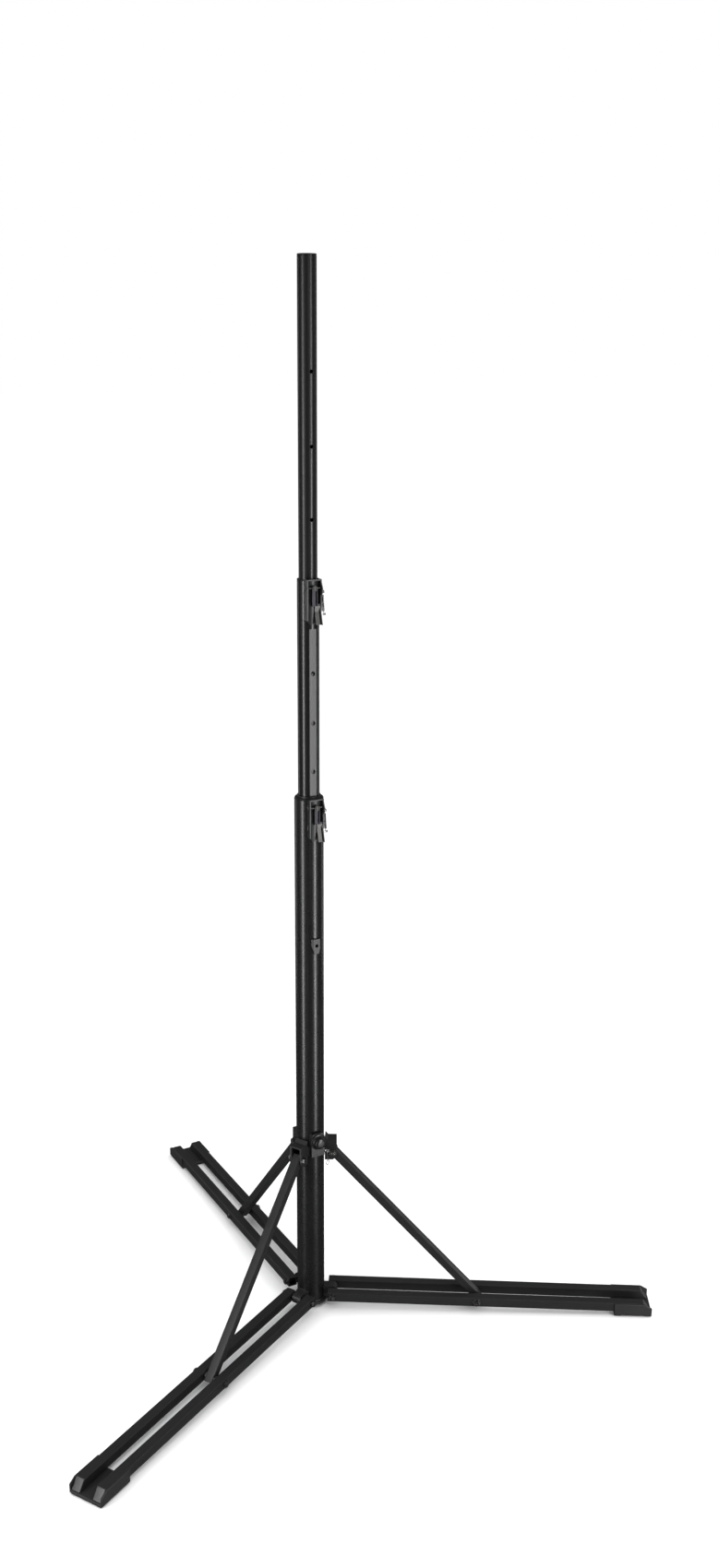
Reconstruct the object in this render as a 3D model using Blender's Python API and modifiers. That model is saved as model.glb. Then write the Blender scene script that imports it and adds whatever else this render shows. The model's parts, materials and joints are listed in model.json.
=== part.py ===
"""Telescopic mast stand on three folding legs.

Metres, +Z up the mast. The origin is the centre of the hub's flat underside, which the feet hold
a little above the floor. The section latches, the lock knob and the catch plate face -Y, between
leg a and leg b. The legs fold up against the mast when the collar slides up the main tube.
"""

import math

import bmesh
import bpy
from mathutils import Matrix, Vector

# Fits
GAP = 0.0003                 # left between pieces that touch
RUNNING = 0.0004             # radial clearance of a sliding tube
PIN_CLEARANCE = 0.0003       # radial clearance of a pin in its bore

# Mast tubes
MAIN_RADIUS = 0.0283
MAIN_WALL = 0.0020
MAIN_LENGTH = 1.0945
MAIN_CHAMFER = 0.0010
MID_STEP = 0.00755           # main tube's radius to the mid tube's
MID_WALL = 0.0020
MID_LENGTH = 1.1200
MID_EXPOSED = 0.4202         # main tube top to mid tube top
MID_FLAT_DEPTH = 0.0013      # flat strip along the front
MID_FLAT_START = 0.0902      # below the mid tube's top
TOP_STEP = 0.00325           # mid tube's radius to the top tube's
TOP_WALL = 0.0018
TOP_LENGTH = 1.1300
TOP_EXPOSED = 0.5705         # mid tube top to top tube top
RIB_GROOVE_OFFSET = 0.0029   # centre of each long groove from the front line
RIB_GROOVE_WIDTH = 0.0013
RIB_GROOVE_DEPTH = 0.0008

# Lock holes along the tubes' fronts
MID_HOLE_RADIUS = 0.0045
MID_HOLE_PITCH = 0.0950
MID_HOLES_ABOVE = 3          # open holes above the lower latch
MID_HOLES_BELOW = 5          # holes that the latch catches as the tube is raised
TOP_HOLE_RADIUS = 0.0036
TOP_HOLE_PITCH = 0.1312
TOP_HOLES_ABOVE = 3
TOP_HOLES_BELOW = 3
TOP_HOLE_START = 0.1110      # mid tube top to the first open hole

# Bushes, guides and cap
BUSH_LENGTH = 0.0250
BUSH_LIP = 0.0014
MAIN_NECK_WALL = 0.0016
MAIN_NECK_HEIGHT = 0.0058
GUIDE_LENGTH = 0.0300
CAP_LIP = 0.0030
CAP_STEM = 0.0180

# Base hub
HUB_PLATE_LIP = 0.0065       # plate beyond the main tube
HUB_PLATE_THICKNESS = 0.0050
HUB_SPIGOT_WALL = 0.0036
HUB_SPIGOT_HEIGHT = 0.0360   # top of the ring inside the main tube's foot
HUB_LUG_WIDTH = 0.0200
HUB_LUG_ROUND = 0.0110

# Legs
LEG_AZIMUTHS = {"a": -30.0, "b": -150.0, "c": 90.0}
LEG_DROP = 0.79              # degrees that each leg slopes down to its foot
LEG_PIVOT_OUT = 0.0173       # main tube's wall to the pivot
LEG_PIVOT_HEIGHT = 0.0201
RAIL_WIDTH = 0.0200
RAIL_HEIGHT = 0.0200
RAIL_WALL = 0.0015
RAIL_ROUND = 0.0018
RAIL_SPACE = 0.0285          # between the two rails of a leg
RAIL_TAIL = 0.0091           # rail that reaches inward past the pivot
RAIL_LENGTH = 0.6506         # pivot to the top edge of the sloping end
RAIL_END_SLOPE = 0.0145
BRACE_BOLT_REACH = 0.3026    # pivot to brace bolt

# Feet
FLOOR_DROP = 0.0080          # hub underside to the floor
SHOE_LENGTH = 0.0779
SHOE_OVERHANG = 0.0018       # past the rail's lowest corner
SHOE_WALL = 0.0028
SHOE_FLOOR = 0.0065
SHOE_TOP_SETBACK = 0.0010
SHOE_NOSE = 0.0080           # height of the sloping nose
SHOE_ROUND = 0.0010
PAD_LENGTH = 0.0140
PAD_WEB = 0.0010
PAD_INSET = 0.0010           # shoe's ends to the pad's

# Bolts, by shank radius and head
BOLT_RADIUS = 0.0040
BOLT_HEAD_RADIUS = 0.0066
BOLT_HEAD_HEIGHT = 0.0045
WASHER_RADIUS = 0.0082
WASHER_HEIGHT = 0.0012
SLEEVE_RADIUS = 0.0068

# Collar
COLLAR_CENTRE = 0.3575
COLLAR_HEIGHT = 0.0210
COLLAR_WALL = 0.0037
BRACE_PIVOT_OUT = 0.0018     # collar's pivots beyond the legs' pivots
BRACE_PIVOT_DROP = 0.0129    # collar centre to brace pivot
LUG_PLATE = 0.0040
LUG_CLEARANCE = 0.0008
LUG_BEYOND = 0.0066          # lug beyond its pivot
LUG_CORNER = 0.0070
LUG_RISE = 0.0165            # collar centre to the lug's top
LUG_FALL = 0.0275            # collar centre to the lug's foot
LUG_WEB = 0.0030
LUG_THROAT = 0.0040          # ring to the lug's open throat
TAB_HALF_WIDTH = 0.0145
TAB_THICKNESS = 0.0030
TAB_RISE = 0.0400
TAB_CORNER = 0.0080
NOTCH_SIDE = 0.0014          # between the catch plate's sides and the notch
NOTCH_CLEARANCE = 0.0007     # notch floor to the catch plate's face
KNOB_RISE = 0.0225           # collar centre to the knob's axis
KNOB_PIN_RADIUS = 0.0030
KNOB_FLANGE_RADIUS = 0.0165
KNOB_FLANGE_HEIGHT = 0.0030
KNOB_DOME_RADIUS = 0.0125
KNOB_DOME_HEIGHT = 0.0115
KNOB_CROWN = 0.0045
PLUNGER_AZIMUTH = -62.0
PLUNGER_DROP = 0.0020        # collar centre to the pull pin
PLUNGER_RADIUS = 0.0022
PLUNGER_BOSS_RADIUS = 0.0052
PLUNGER_BOSS_OUT = 0.0061    # boss beyond the collar's ring
PLUNGER_HEAD_RADIUS = 0.0038
PLUNGER_HEAD_LENGTH = 0.0036
PLUNGER_NECK_LENGTH = 0.0024
RING_WIRE = 0.0006
RING_RADIUS = 0.0047
RING_HANG = 0.0220
RING_EYE_OPEN = 35.0         # degrees below level where the eye's wire starts
RING_EYE_END = 55.0          # degrees past level where the eye's wire turns down
RING_TURN = 340.0            # degrees of the ring's loop

# Brace
BRACE_WIDTH = 0.0180
BRACE_INSET = 0.0015         # its faces inside the rails' when folded
BRACE_WALL = 0.0015
BRACE_ROUND = 0.0018
BRACE_HEAD = 0.0090          # beyond the collar pivot
BRACE_FOOT = 0.0100          # beyond the leg bolt

# Catch plate on the main tube, at the collar's highest place
CATCH_ABOVE = 0.0139         # knob pin's axis to the plate's top
CATCH_BELOW = 0.0170
CATCH_RISE = 0.0042          # stands proud of the tube
CATCH_HALF_FACE = 0.0072
CATCH_HALF_WIDTH = 0.0098
CATCH_TAPER = 0.0170
CATCH_TIP = 0.0049
SCREW_DROP = 0.0062
SCREW_RADIUS = 0.0021

# Section latches, measured out from their tube's wall and down from its top
LATCH_HALF_WIDTH = 0.0150
LATCH_RISE = 0.0030          # top plate over the tube's top
LATCH_FALL = 0.0730          # side plates' feet
LATCH_DEPTH = 0.0065         # tube wall to the side plates' front
LATCH_PLATE = 0.0020
LATCH_TOP_PLATE = 0.0022
SADDLE_WALL = 0.0020
CHIN_FALL = 0.0810           # the saddle's rounded lower end
CHIN_HALF_WIDTH = 0.0070
EAR_DEPTH = 0.0055           # beyond the side plate
EAR_TOP = 0.0020
EAR_BOTTOM = 0.0270
EAR_CORNER = 0.0060
LEVER_DROP = 0.0130          # tube top to the lever's pin
LEVER_OUT = 0.0044           # tube wall to the lever's pin
LEVER_PIN_RADIUS = 0.0014
PIN_HEAD_RADIUS = 0.0027
PIN_HEAD_HEIGHT = 0.0012
LEVER_HALF_WIDTH = 0.0056
LEVER_SHEET = 0.0014
LEVER_BACK = 0.0012          # pin's axis to the sheet's back
LEVER_FLANGE = 0.0036        # pin's axis to the flanges' front
LEVER_LUG = 0.0030
LEVER_LENGTH = 0.0340
THUMB_INNER = 0.0010
THUMB_OUTER = 0.0124
THUMB_START = 0.0300
THUMB_BEND = 0.0440
THUMB_END = 0.0680
THUMB_FLARE = 0.0067
THUMB_FLANGE = 0.0048
TOOTH_DROP = 0.0400
TOOTH_HALF_WIDTH = 0.0030
TOOTH_HALF_HEIGHT = 0.0025
TOOTH_CLEARANCE = 0.0005     # tooth tip to the inner tube, drawn clear of its holes
WINDOW_SIDE = 0.0012
WINDOW_BELOW = 0.0045        # room for the tooth's swing
WINDOW_ABOVE = 0.0015
STUD_RADIUS = 0.0014
STUD_HEAD_RADIUS = 0.0027
STUD_HEAD_HEIGHT = 0.0012
STUD_DROP = 0.0210           # tube top to the spring's upper stud
STUD_OUT = 0.0025            # tube wall to the spring's upper stud
BOLT_DROP = 0.0620           # tube top to the spring's lower bolt
BOLT_OUT = 0.0078
SPRING_RADIUS = 0.0025
SPRING_SIDE = 0.0004         # side plate to the spring's coils
SPRING_EYE = 0.0050

ROUND = 48                   # segments of a tube
SMALL_ROUND = 20             # segments of a bolt or bore

# Finishes: colour, roughness, metallic
FINISHES = {
    "black_paint": ((0.018, 0.018, 0.019, 1.0), 0.42, 0.0),
    "black_anodised": ((0.014, 0.014, 0.015, 1.0), 0.36, 0.6),
    "black_plastic": ((0.016, 0.016, 0.017, 1.0), 0.50, 0.0),
    "rubber": ((0.012, 0.012, 0.012, 1.0), 0.85, 0.0),
    "zinc": ((0.62, 0.62, 0.63, 1.0), 0.32, 1.0),
    "bright_steel": ((0.72, 0.72, 0.73, 1.0), 0.22, 1.0),
}

# Levels and places that follow from the sizes above
MID_RADIUS = MAIN_RADIUS - MID_STEP
TOP_RADIUS = MID_RADIUS - TOP_STEP
MAIN_BOTTOM = HUB_PLATE_THICKNESS + GAP
MAIN_TOP = MAIN_BOTTOM + MAIN_LENGTH
MID_TOP = MAIN_TOP + MID_EXPOSED
MID_BOTTOM = MID_TOP - MID_LENGTH
TOP_TOP = MID_TOP + TOP_EXPOSED
TOP_BOTTOM = TOP_TOP - TOP_LENGTH
MAIN_BORE = MAIN_RADIUS - MAIN_WALL
MID_BORE = MID_RADIUS - MID_WALL
TOP_BORE = TOP_RADIUS - TOP_WALL
DROP = math.radians(LEG_DROP)
RAIL_OUTER = RAIL_SPACE / 2 + RAIL_WIDTH
LEG_PIVOT_REACH = MAIN_RADIUS + LEG_PIVOT_OUT
BRACE_PIVOT_REACH = LEG_PIVOT_REACH + BRACE_PIVOT_OUT
BRACE_PIVOT_HEIGHT = COLLAR_CENTRE - BRACE_PIVOT_DROP
BRACE_DEPTH = RAIL_HEIGHT - 2 * BRACE_INSET
LUG_REACH = BRACE_PIVOT_REACH + LUG_BEYOND
KNOB_HEIGHT = COLLAR_CENTRE + KNOB_RISE
CATCH_FACE = MAIN_RADIUS + CATCH_RISE
NOTCH_FACE = CATCH_FACE + NOTCH_CLEARANCE
TAB_FACE = NOTCH_FACE + TAB_THICKNESS
NOTCH_HALF_WIDTH = CATCH_HALF_WIDTH + NOTCH_SIDE
COLLAR_BORE = MAIN_RADIUS + RUNNING
COLLAR_RADIUS = COLLAR_BORE + COLLAR_WALL
PLUNGER_BOSS_REACH = COLLAR_RADIUS + PLUNGER_BOSS_OUT
PLUNGER_HEIGHT = COLLAR_CENTRE - PLUNGER_DROP
SPRING_OFFSET = LATCH_HALF_WIDTH + SPRING_SIDE + SPRING_RADIUS

# The linkage: where the brace bolt lies with the legs open, and how far the collar rises to fold
BOLT_PLACE_REACH = LEG_PIVOT_REACH + BRACE_BOLT_REACH * math.cos(DROP)
BOLT_PLACE_HEIGHT = LEG_PIVOT_HEIGHT - BRACE_BOLT_REACH * math.sin(DROP)
BRACE_OUT = BOLT_PLACE_REACH - BRACE_PIVOT_REACH
BRACE_FALL = BRACE_PIVOT_HEIGHT - BOLT_PLACE_HEIGHT
BRACE_LENGTH = math.hypot(BRACE_OUT, BRACE_FALL)
FOLDED_PIVOT = (LEG_PIVOT_HEIGHT + BRACE_BOLT_REACH
                + math.sqrt(BRACE_LENGTH ** 2 - BRACE_PIVOT_OUT ** 2))
FOLD_TRAVEL = FOLDED_PIVOT - BRACE_PIVOT_HEIGHT
CATCH_HEIGHT = KNOB_HEIGHT + FOLD_TRAVEL


def clear_scene():
    """Remove what the file starts with."""
    for obj in list(bpy.data.objects):
        bpy.data.objects.remove(obj, do_unlink=True)


def new_collection(name):
    """A collection linked to the scene."""
    collection = bpy.data.collections.new(name)
    bpy.context.scene.collection.children.link(collection)
    return collection


def new_frame(name, location, rotation=(0.0, 0.0, 0.0)):
    """An empty that places the pieces of one moving group on its joint's axis."""
    frame = bpy.data.objects.new(name, None)
    frame.location = location
    frame.rotation_euler = rotation
    FRAMES.objects.link(frame)
    return frame


def add_part(name, mesh, finish, frame=None):
    """A finished piece, with its own material."""
    obj = bpy.data.objects.new(name, mesh)
    PARTS.objects.link(obj)
    obj.parent = frame
    colour, roughness, metallic = FINISHES[finish]
    material = bpy.data.materials.new(name + "_" + finish)
    material.use_nodes = True
    shader = material.node_tree.nodes["Principled BSDF"]
    shader.inputs["Base Color"].default_value = colour
    shader.inputs["Roughness"].default_value = roughness
    shader.inputs["Metallic"].default_value = metallic
    mesh.materials.append(material)
    return obj


def add_cutter(name, mesh, frame=None):
    """A guide that cuts or joins, left out of the model."""
    obj = bpy.data.objects.new(name, mesh)
    CUTTERS.objects.link(obj)
    obj.parent = frame
    obj.hide_render = True
    obj.display_type = "WIRE"
    return obj


def combine(target, operation, cutter):
    """Cut, join or intersect a piece with a guide."""
    modifier = target.modifiers.new(cutter.name, "BOOLEAN")
    modifier.operation = operation
    modifier.solver = "EXACT"
    modifier.object = cutter


def cut(target, mesh):
    """Take a guide shape away, in the piece's own frame."""
    combine(target, "DIFFERENCE", add_cutter(target.name + "_cut", mesh, target.parent))


def join(target, mesh):
    """Add a guide shape, in the piece's own frame."""
    combine(target, "UNION", add_cutter(target.name + "_add", mesh, target.parent))


def keep(target, mesh):
    """Keep only what lies in a guide shape, in the piece's own frame."""
    combine(target, "INTERSECT", add_cutter(target.name + "_keep", mesh, target.parent))


def round_edges(obj, width, segments=2):
    """Round a piece's sharp edges."""
    modifier = obj.modifiers.new("rounded_edges", "BEVEL")
    modifier.width = width
    modifier.segments = segments
    modifier.limit_method = "ANGLE"


def finished_mesh(name, shape):
    """Turn a bmesh into a mesh with smooth round sides."""
    mesh = bpy.data.meshes.new(name)
    shape.to_mesh(mesh)
    shape.free()
    mesh.shade_smooth()
    mesh.set_sharp_from_angle(angle=math.radians(35.0))
    return mesh


def box(name, low, high):
    """A box between two corners."""
    low = Vector(low)
    high = Vector(high)
    shape = bmesh.new()
    bmesh.ops.create_cube(shape, size=1.0)
    bmesh.ops.scale(shape, vec=high - low, verts=shape.verts)
    bmesh.ops.translate(shape, vec=(low + high) / 2, verts=shape.verts)
    return finished_mesh(name, shape)


def rod(name, radius, start, end, segments=SMALL_ROUND, roll=0.0):
    """A round bar between two points, turned about its own axis by roll."""
    start = Vector(start)
    end = Vector(end)
    along = end - start
    shape = bmesh.new()
    bmesh.ops.create_cone(
        shape, cap_ends=True, segments=segments, radius1=radius, radius2=radius,
        depth=along.length)
    turn = Vector((0.0, 0.0, 1.0)).rotation_difference(along).to_matrix().to_4x4()
    turn = turn @ Matrix.Rotation(roll, 4, "Z")
    bmesh.ops.transform(
        shape, matrix=Matrix.Translation((start + end) / 2) @ turn, verts=shape.verts)
    return finished_mesh(name, shape)


def arc(centre, radius, start, end, steps):
    """Points of an arc, from one angle to another in degrees."""
    points = []
    for step in range(steps + 1):
        angle = math.radians(start + (end - start) * step / steps)
        points.append((centre[0] + radius * math.cos(angle), centre[1] + radius * math.sin(angle)))
    return points


PLANES = {
    "xy": Matrix.Identity(4),
    "xz": Matrix.Rotation(math.radians(90.0), 4, "X"),
    "yz": Matrix(((0, 0, 1, 0), (1, 0, 0, 0), (0, 1, 0, 0), (0, 0, 0, 1))),
}
NORMALS = {"xy": Vector((0, 0, 1)), "xz": Vector((0, 1, 0)), "yz": Vector((1, 0, 0))}


def curve_shape(curve):
    """A curve's filled or round surface as a closed shape."""
    guide = bpy.data.objects.new(curve.name, curve)
    CUTTERS.objects.link(guide)
    evaluated = guide.evaluated_get(bpy.context.evaluated_depsgraph_get())
    mesh = bpy.data.meshes.new_from_object(evaluated)
    bpy.data.objects.remove(guide, do_unlink=True)
    shape = bmesh.new()
    shape.from_mesh(mesh)
    bpy.data.meshes.remove(mesh)
    bmesh.ops.remove_doubles(shape, verts=shape.verts, dist=0.000001)
    return shape


def plate(name, outline, plane, low, high):
    """A flat outline given thickness between two levels along its plane's normal."""
    curve = bpy.data.curves.new(name, "CURVE")
    curve.dimensions = "2D"
    curve.fill_mode = "BOTH"
    curve.extrude = (high - low) / 2
    spline = curve.splines.new("POLY")
    spline.points.add(len(outline) - 1)
    for point, (across, up) in zip(spline.points, outline):
        point.co = (across, up, 0.0, 1.0)
    spline.use_cyclic_u = True
    shape = curve_shape(curve)
    bmesh.ops.dissolve_limit(
        shape, angle_limit=math.radians(0.5), verts=shape.verts, edges=shape.edges)
    placed = Matrix.Translation(NORMALS[plane] * (low + high) / 2) @ PLANES[plane]
    bmesh.ops.transform(shape, matrix=placed, verts=shape.verts)
    bmesh.ops.recalc_face_normals(shape, faces=shape.faces)
    return finished_mesh(name, shape)


def profile_mesh(name, profile, closed):
    """The edges of a turned shape, as (radius, height) points down its outer side."""
    mesh = bpy.data.meshes.new(name)
    vertices = [(radius, 0.0, height) for radius, height in profile]
    edges = [(index, index + 1) for index in range(len(profile) - 1)]
    if closed:
        edges.append((len(profile) - 1, 0))
    mesh.from_pydata(vertices, edges, [])
    return mesh


def turn_profile(obj, segments):
    """Spin an object's profile round its own Z axis."""
    modifier = obj.modifiers.new("turned", "SCREW")
    modifier.axis = "Z"
    modifier.steps = segments
    modifier.render_steps = segments
    modifier.use_merge_vertices = True
    modifier.merge_threshold = 0.00001


def turned_ring(name, finish, profile, frame=None, segments=ROUND):
    """A turned piece with a bore."""
    obj = add_part(name, profile_mesh(name, profile, True), finish, frame)
    turn_profile(obj, segments)
    return obj


def turned_solid(name, finish, profile, frame, location, rotation, segments=SMALL_ROUND):
    """A turned piece with no bore, lying along its own Z axis."""
    obj = add_part(name, profile_mesh(name, profile, False), finish, frame)
    obj.location = location
    obj.rotation_euler = rotation
    turn_profile(obj, segments)
    return obj


def tube_profile(outer, bore, bottom, top, chamfer=0.0):
    """A tube's section, with a chamfer round its outer top edge."""
    profile = [(outer, bottom), (bore, bottom), (bore, top), (outer - chamfer, top)]
    if chamfer:
        profile.append((outer, top - chamfer))
    return profile


ALONG_Y = (math.radians(-90.0), 0.0, 0.0)     # a turned piece's axis laid along +Y
ALONG_FRONT = (math.radians(90.0), 0.0, 0.0)  # a turned piece's axis laid along -Y
ALONG_X = (0.0, math.radians(90.0), 0.0)      # a turned piece's axis laid along +X


def double_headed(shank_half, shank_radius, head_radius, head_height):
    """A pin with a head at each end, from the middle of its length."""
    end = shank_half + head_height
    upper = [(0.0, end), (head_radius, end), (head_radius, shank_half), (shank_radius, shank_half)]
    return upper + [(radius, -height) for radius, height in reversed(upper)]


def bolt_profile(shank_half):
    """A bolt with its head and nut, each on a washer."""
    washer = shank_half + WASHER_HEIGHT
    end = washer + BOLT_HEAD_HEIGHT
    upper = [(0.0, end), (BOLT_HEAD_RADIUS, end), (BOLT_HEAD_RADIUS, washer)]
    upper += [(WASHER_RADIUS, washer), (WASHER_RADIUS, shank_half), (BOLT_RADIUS, shank_half)]
    return upper + [(radius, -height) for radius, height in reversed(upper)]


def stub_profile(inner, shoulder):
    """Half a bolt, with its end at the inner level and its head over the shoulder."""
    washer = shoulder + WASHER_HEIGHT
    end = washer + BOLT_HEAD_HEIGHT
    return [
        (0.0, end),
        (BOLT_HEAD_RADIUS, end),
        (BOLT_HEAD_RADIUS, washer),
        (WASHER_RADIUS, washer),
        (WASHER_RADIUS, shoulder),
        (BOLT_RADIUS, shoulder),
        (BOLT_RADIUS, inner),
        (0.0, inner),
    ]


def make_mast_tubes():
    """The three telescoping tubes with their lock holes, flat, grooves and latch windows."""
    main = turned_ring(
        "main_tube", "black_paint",
        tube_profile(MAIN_RADIUS, MAIN_BORE, MAIN_BOTTOM, MAIN_TOP, MAIN_CHAMFER))
    for height in (KNOB_HEIGHT, CATCH_HEIGHT):
        cut(main, front_hole(KNOB_PIN_RADIUS + PIN_CLEARANCE, height))
    cut(main, tooth_window(MAIN_RADIUS, MAIN_TOP))

    mid = turned_ring(
        "mid_tube", "black_paint", tube_profile(MID_RADIUS, MID_BORE, MID_BOTTOM, MID_TOP))
    flat = -MID_RADIUS + MID_FLAT_DEPTH
    below = MID_BOTTOM - GAP
    cut(mid, box("mid_flat", (-MID_RADIUS, -2 * MID_RADIUS, below),
                 (MID_RADIUS, flat, MID_TOP - MID_FLAT_START)))
    cut(mid, front_holes(MID_HOLE_RADIUS, [
        MAIN_TOP - TOOTH_DROP + step * MID_HOLE_PITCH
        for step in range(-MID_HOLES_BELOW, MID_HOLES_ABOVE + 1)]))
    cut(mid, tooth_window(MID_RADIUS, MID_TOP))

    top = turned_ring(
        "top_tube", "black_anodised", tube_profile(TOP_RADIUS, TOP_BORE, TOP_BOTTOM, TOP_TOP))
    groove = -TOP_RADIUS + RIB_GROOVE_DEPTH
    for side in (-1, 1):
        middle = side * RIB_GROOVE_OFFSET
        cut(top, box("rib_groove",
                     (middle - RIB_GROOVE_WIDTH / 2, -2 * TOP_RADIUS, TOP_BOTTOM - GAP),
                     (middle + RIB_GROOVE_WIDTH / 2, groove, TOP_TOP + GAP)))
    cut(top, front_holes(TOP_HOLE_RADIUS, [
        MID_TOP + TOP_HOLE_START + step * TOP_HOLE_PITCH for step in range(TOP_HOLES_ABOVE)] + [
        MID_TOP - TOOTH_DROP - step * TOP_HOLE_PITCH for step in range(TOP_HOLES_BELOW + 1)]))


def front_hole(radius, height):
    """A guide for a round hole through a tube's front wall, its corners off the tube's front line."""
    return rod("front_hole", radius, (0, -2 * MAIN_RADIUS, height), (0, 0, height),
               roll=math.pi / SMALL_ROUND)


def front_holes(radius, heights):
    """One guide for a row of round holes, so that a tube's wall is cut once for all of them."""
    shape = bmesh.new()
    for height in heights:
        shape.from_mesh(front_hole(radius, height))
    return finished_mesh("front_holes", shape)


def tooth_window(radius, tube_top):
    """The opening in a tube's front wall that a latch tooth swings through."""
    side = TOOTH_HALF_WIDTH + WINDOW_SIDE
    level = tube_top - TOOTH_DROP
    return box("tooth_window",
               (-side, -radius - 2 * SADDLE_WALL, level - TOOTH_HALF_HEIGHT - WINDOW_BELOW),
               (side, -radius / 2, level + TOOTH_HALF_HEIGHT + WINDOW_ABOVE))


def make_bushes():
    """The bushes in the tubes' mouths, the guides on the sliding tubes' feet, and the cap."""
    bore = MID_RADIUS + RUNNING
    seat = MAIN_TOP + GAP
    lip = seat + BUSH_LIP
    neck = bore + MAIN_NECK_WALL
    turned_ring("main_bush", "black_plastic", [
        (neck, seat + MAIN_NECK_HEIGHT), (neck, lip), (MAIN_RADIUS - MAIN_CHAMFER, lip),
        (MAIN_RADIUS - MAIN_CHAMFER, seat), (MAIN_BORE - GAP, seat),
        (MAIN_BORE - GAP, seat - BUSH_LENGTH), (bore, seat - BUSH_LENGTH),
        (bore, seat + MAIN_NECK_HEIGHT)])
    bore = TOP_RADIUS + RUNNING
    seat = MID_TOP + GAP
    turned_ring("mid_bush", "black_plastic", [
        (MID_RADIUS, seat + BUSH_LIP), (MID_RADIUS, seat), (MID_BORE - GAP, seat),
        (MID_BORE - GAP, seat - BUSH_LENGTH), (bore, seat - BUSH_LENGTH), (bore, seat + BUSH_LIP)])
    turned_ring("mid_guide", "black_plastic", tube_profile(
        MAIN_BORE - RUNNING, MID_RADIUS + GAP, MID_BOTTOM, MID_BOTTOM + GUIDE_LENGTH))
    turned_ring("top_guide", "black_plastic", tube_profile(
        MID_BORE - RUNNING, TOP_RADIUS + GAP, TOP_BOTTOM, TOP_BOTTOM + GUIDE_LENGTH))
    seat = TOP_TOP + GAP
    turned_solid("top_cap", "black_plastic", [
        (0.0, seat + CAP_LIP), (TOP_RADIUS, seat + CAP_LIP), (TOP_RADIUS, seat),
        (TOP_BORE - GAP, seat), (TOP_BORE - GAP, seat - CAP_STEM), (0.0, seat - CAP_STEM)],
        None, (0, 0, 0), (0, 0, 0), ROUND)


def turn_about_mast(mesh, azimuth):
    """Swing a mesh that points along +X round the mast to an azimuth in degrees."""
    mesh.transform(Matrix.Rotation(math.radians(azimuth), 4, "Z"))
    return mesh


def make_hub():
    """The hub: a round plate, a spigot inside the main tube's foot and a lug for each leg."""
    spigot = MAIN_BORE - GAP
    bore = spigot - HUB_SPIGOT_WALL
    edge = MAIN_RADIUS + HUB_PLATE_LIP
    hub = turned_solid("base_hub", "black_paint", [
        (0.0, HUB_PLATE_THICKNESS), (bore, HUB_PLATE_THICKNESS), (bore, HUB_SPIGOT_HEIGHT),
        (spigot, HUB_SPIGOT_HEIGHT), (spigot, HUB_PLATE_THICKNESS), (edge, HUB_PLATE_THICKNESS),
        (edge, 0.0), (0.0, 0.0)],
        None, (0, 0, 0), (0, 0, 0), ROUND)
    foot = HUB_PLATE_THICKNESS / 2
    inner = MAIN_RADIUS + GAP
    outline = [(inner, foot), (LEG_PIVOT_REACH - HUB_LUG_ROUND, foot)]
    outline += arc((LEG_PIVOT_REACH, LEG_PIVOT_HEIGHT), HUB_LUG_ROUND, -90.0, 90.0, 10)
    outline.append((inner, LEG_PIVOT_HEIGHT + HUB_LUG_ROUND))
    half = HUB_LUG_WIDTH / 2
    hole = SLEEVE_RADIUS + PIN_CLEARANCE
    for azimuth in LEG_AZIMUTHS.values():
        join(hub, turn_about_mast(plate("lug", outline, "xz", -half, half), azimuth))
    for azimuth in LEG_AZIMUTHS.values():
        bolt = rod("lug_bore", hole, (LEG_PIVOT_REACH, -2 * half, LEG_PIVOT_HEIGHT),
                   (LEG_PIVOT_REACH, 2 * half, LEG_PIVOT_HEIGHT))
        cut(hub, turn_about_mast(bolt, azimuth))


def rail_outline():
    """A rail's side view in its leg's frame, from its tail to its sloping end."""
    half = RAIL_HEIGHT / 2
    return [(-RAIL_TAIL, -half), (RAIL_LENGTH + RAIL_END_SLOPE, -half),
            (RAIL_LENGTH, half), (-RAIL_TAIL, half)]


def make_rail(name, side, frame):
    """One hollow rail, open at its tail and closed at its sloping end."""
    inner = side * RAIL_SPACE / 2
    outer = side * RAIL_OUTER
    low, high = sorted((inner, outer))
    rail = add_part(name, plate(name, rail_outline(), "xz", low, high), "black_paint", frame)
    round_edges(rail, RAIL_ROUND)
    half = RAIL_HEIGHT / 2 - RAIL_WALL
    cut(rail, box("rail_hollow", (-2 * RAIL_TAIL, low + RAIL_WALL, -half),
                  (RAIL_LENGTH - RAIL_WALL, high - RAIL_WALL, half)))
    bore = BOLT_RADIUS + PIN_CLEARANCE
    for reach in (0.0, BRACE_BOLT_REACH):
        cut(rail, rod("rail_bore", bore, (reach, low - GAP, 0), (reach, high + GAP, 0)))


def floor_level(reach):
    """The floor's level in a leg's frame, at a distance out from the leg's pivot."""
    fall = FLOOR_DROP + LEG_PIVOT_HEIGHT
    return (reach * math.sin(DROP) - fall) / math.cos(DROP)


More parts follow.
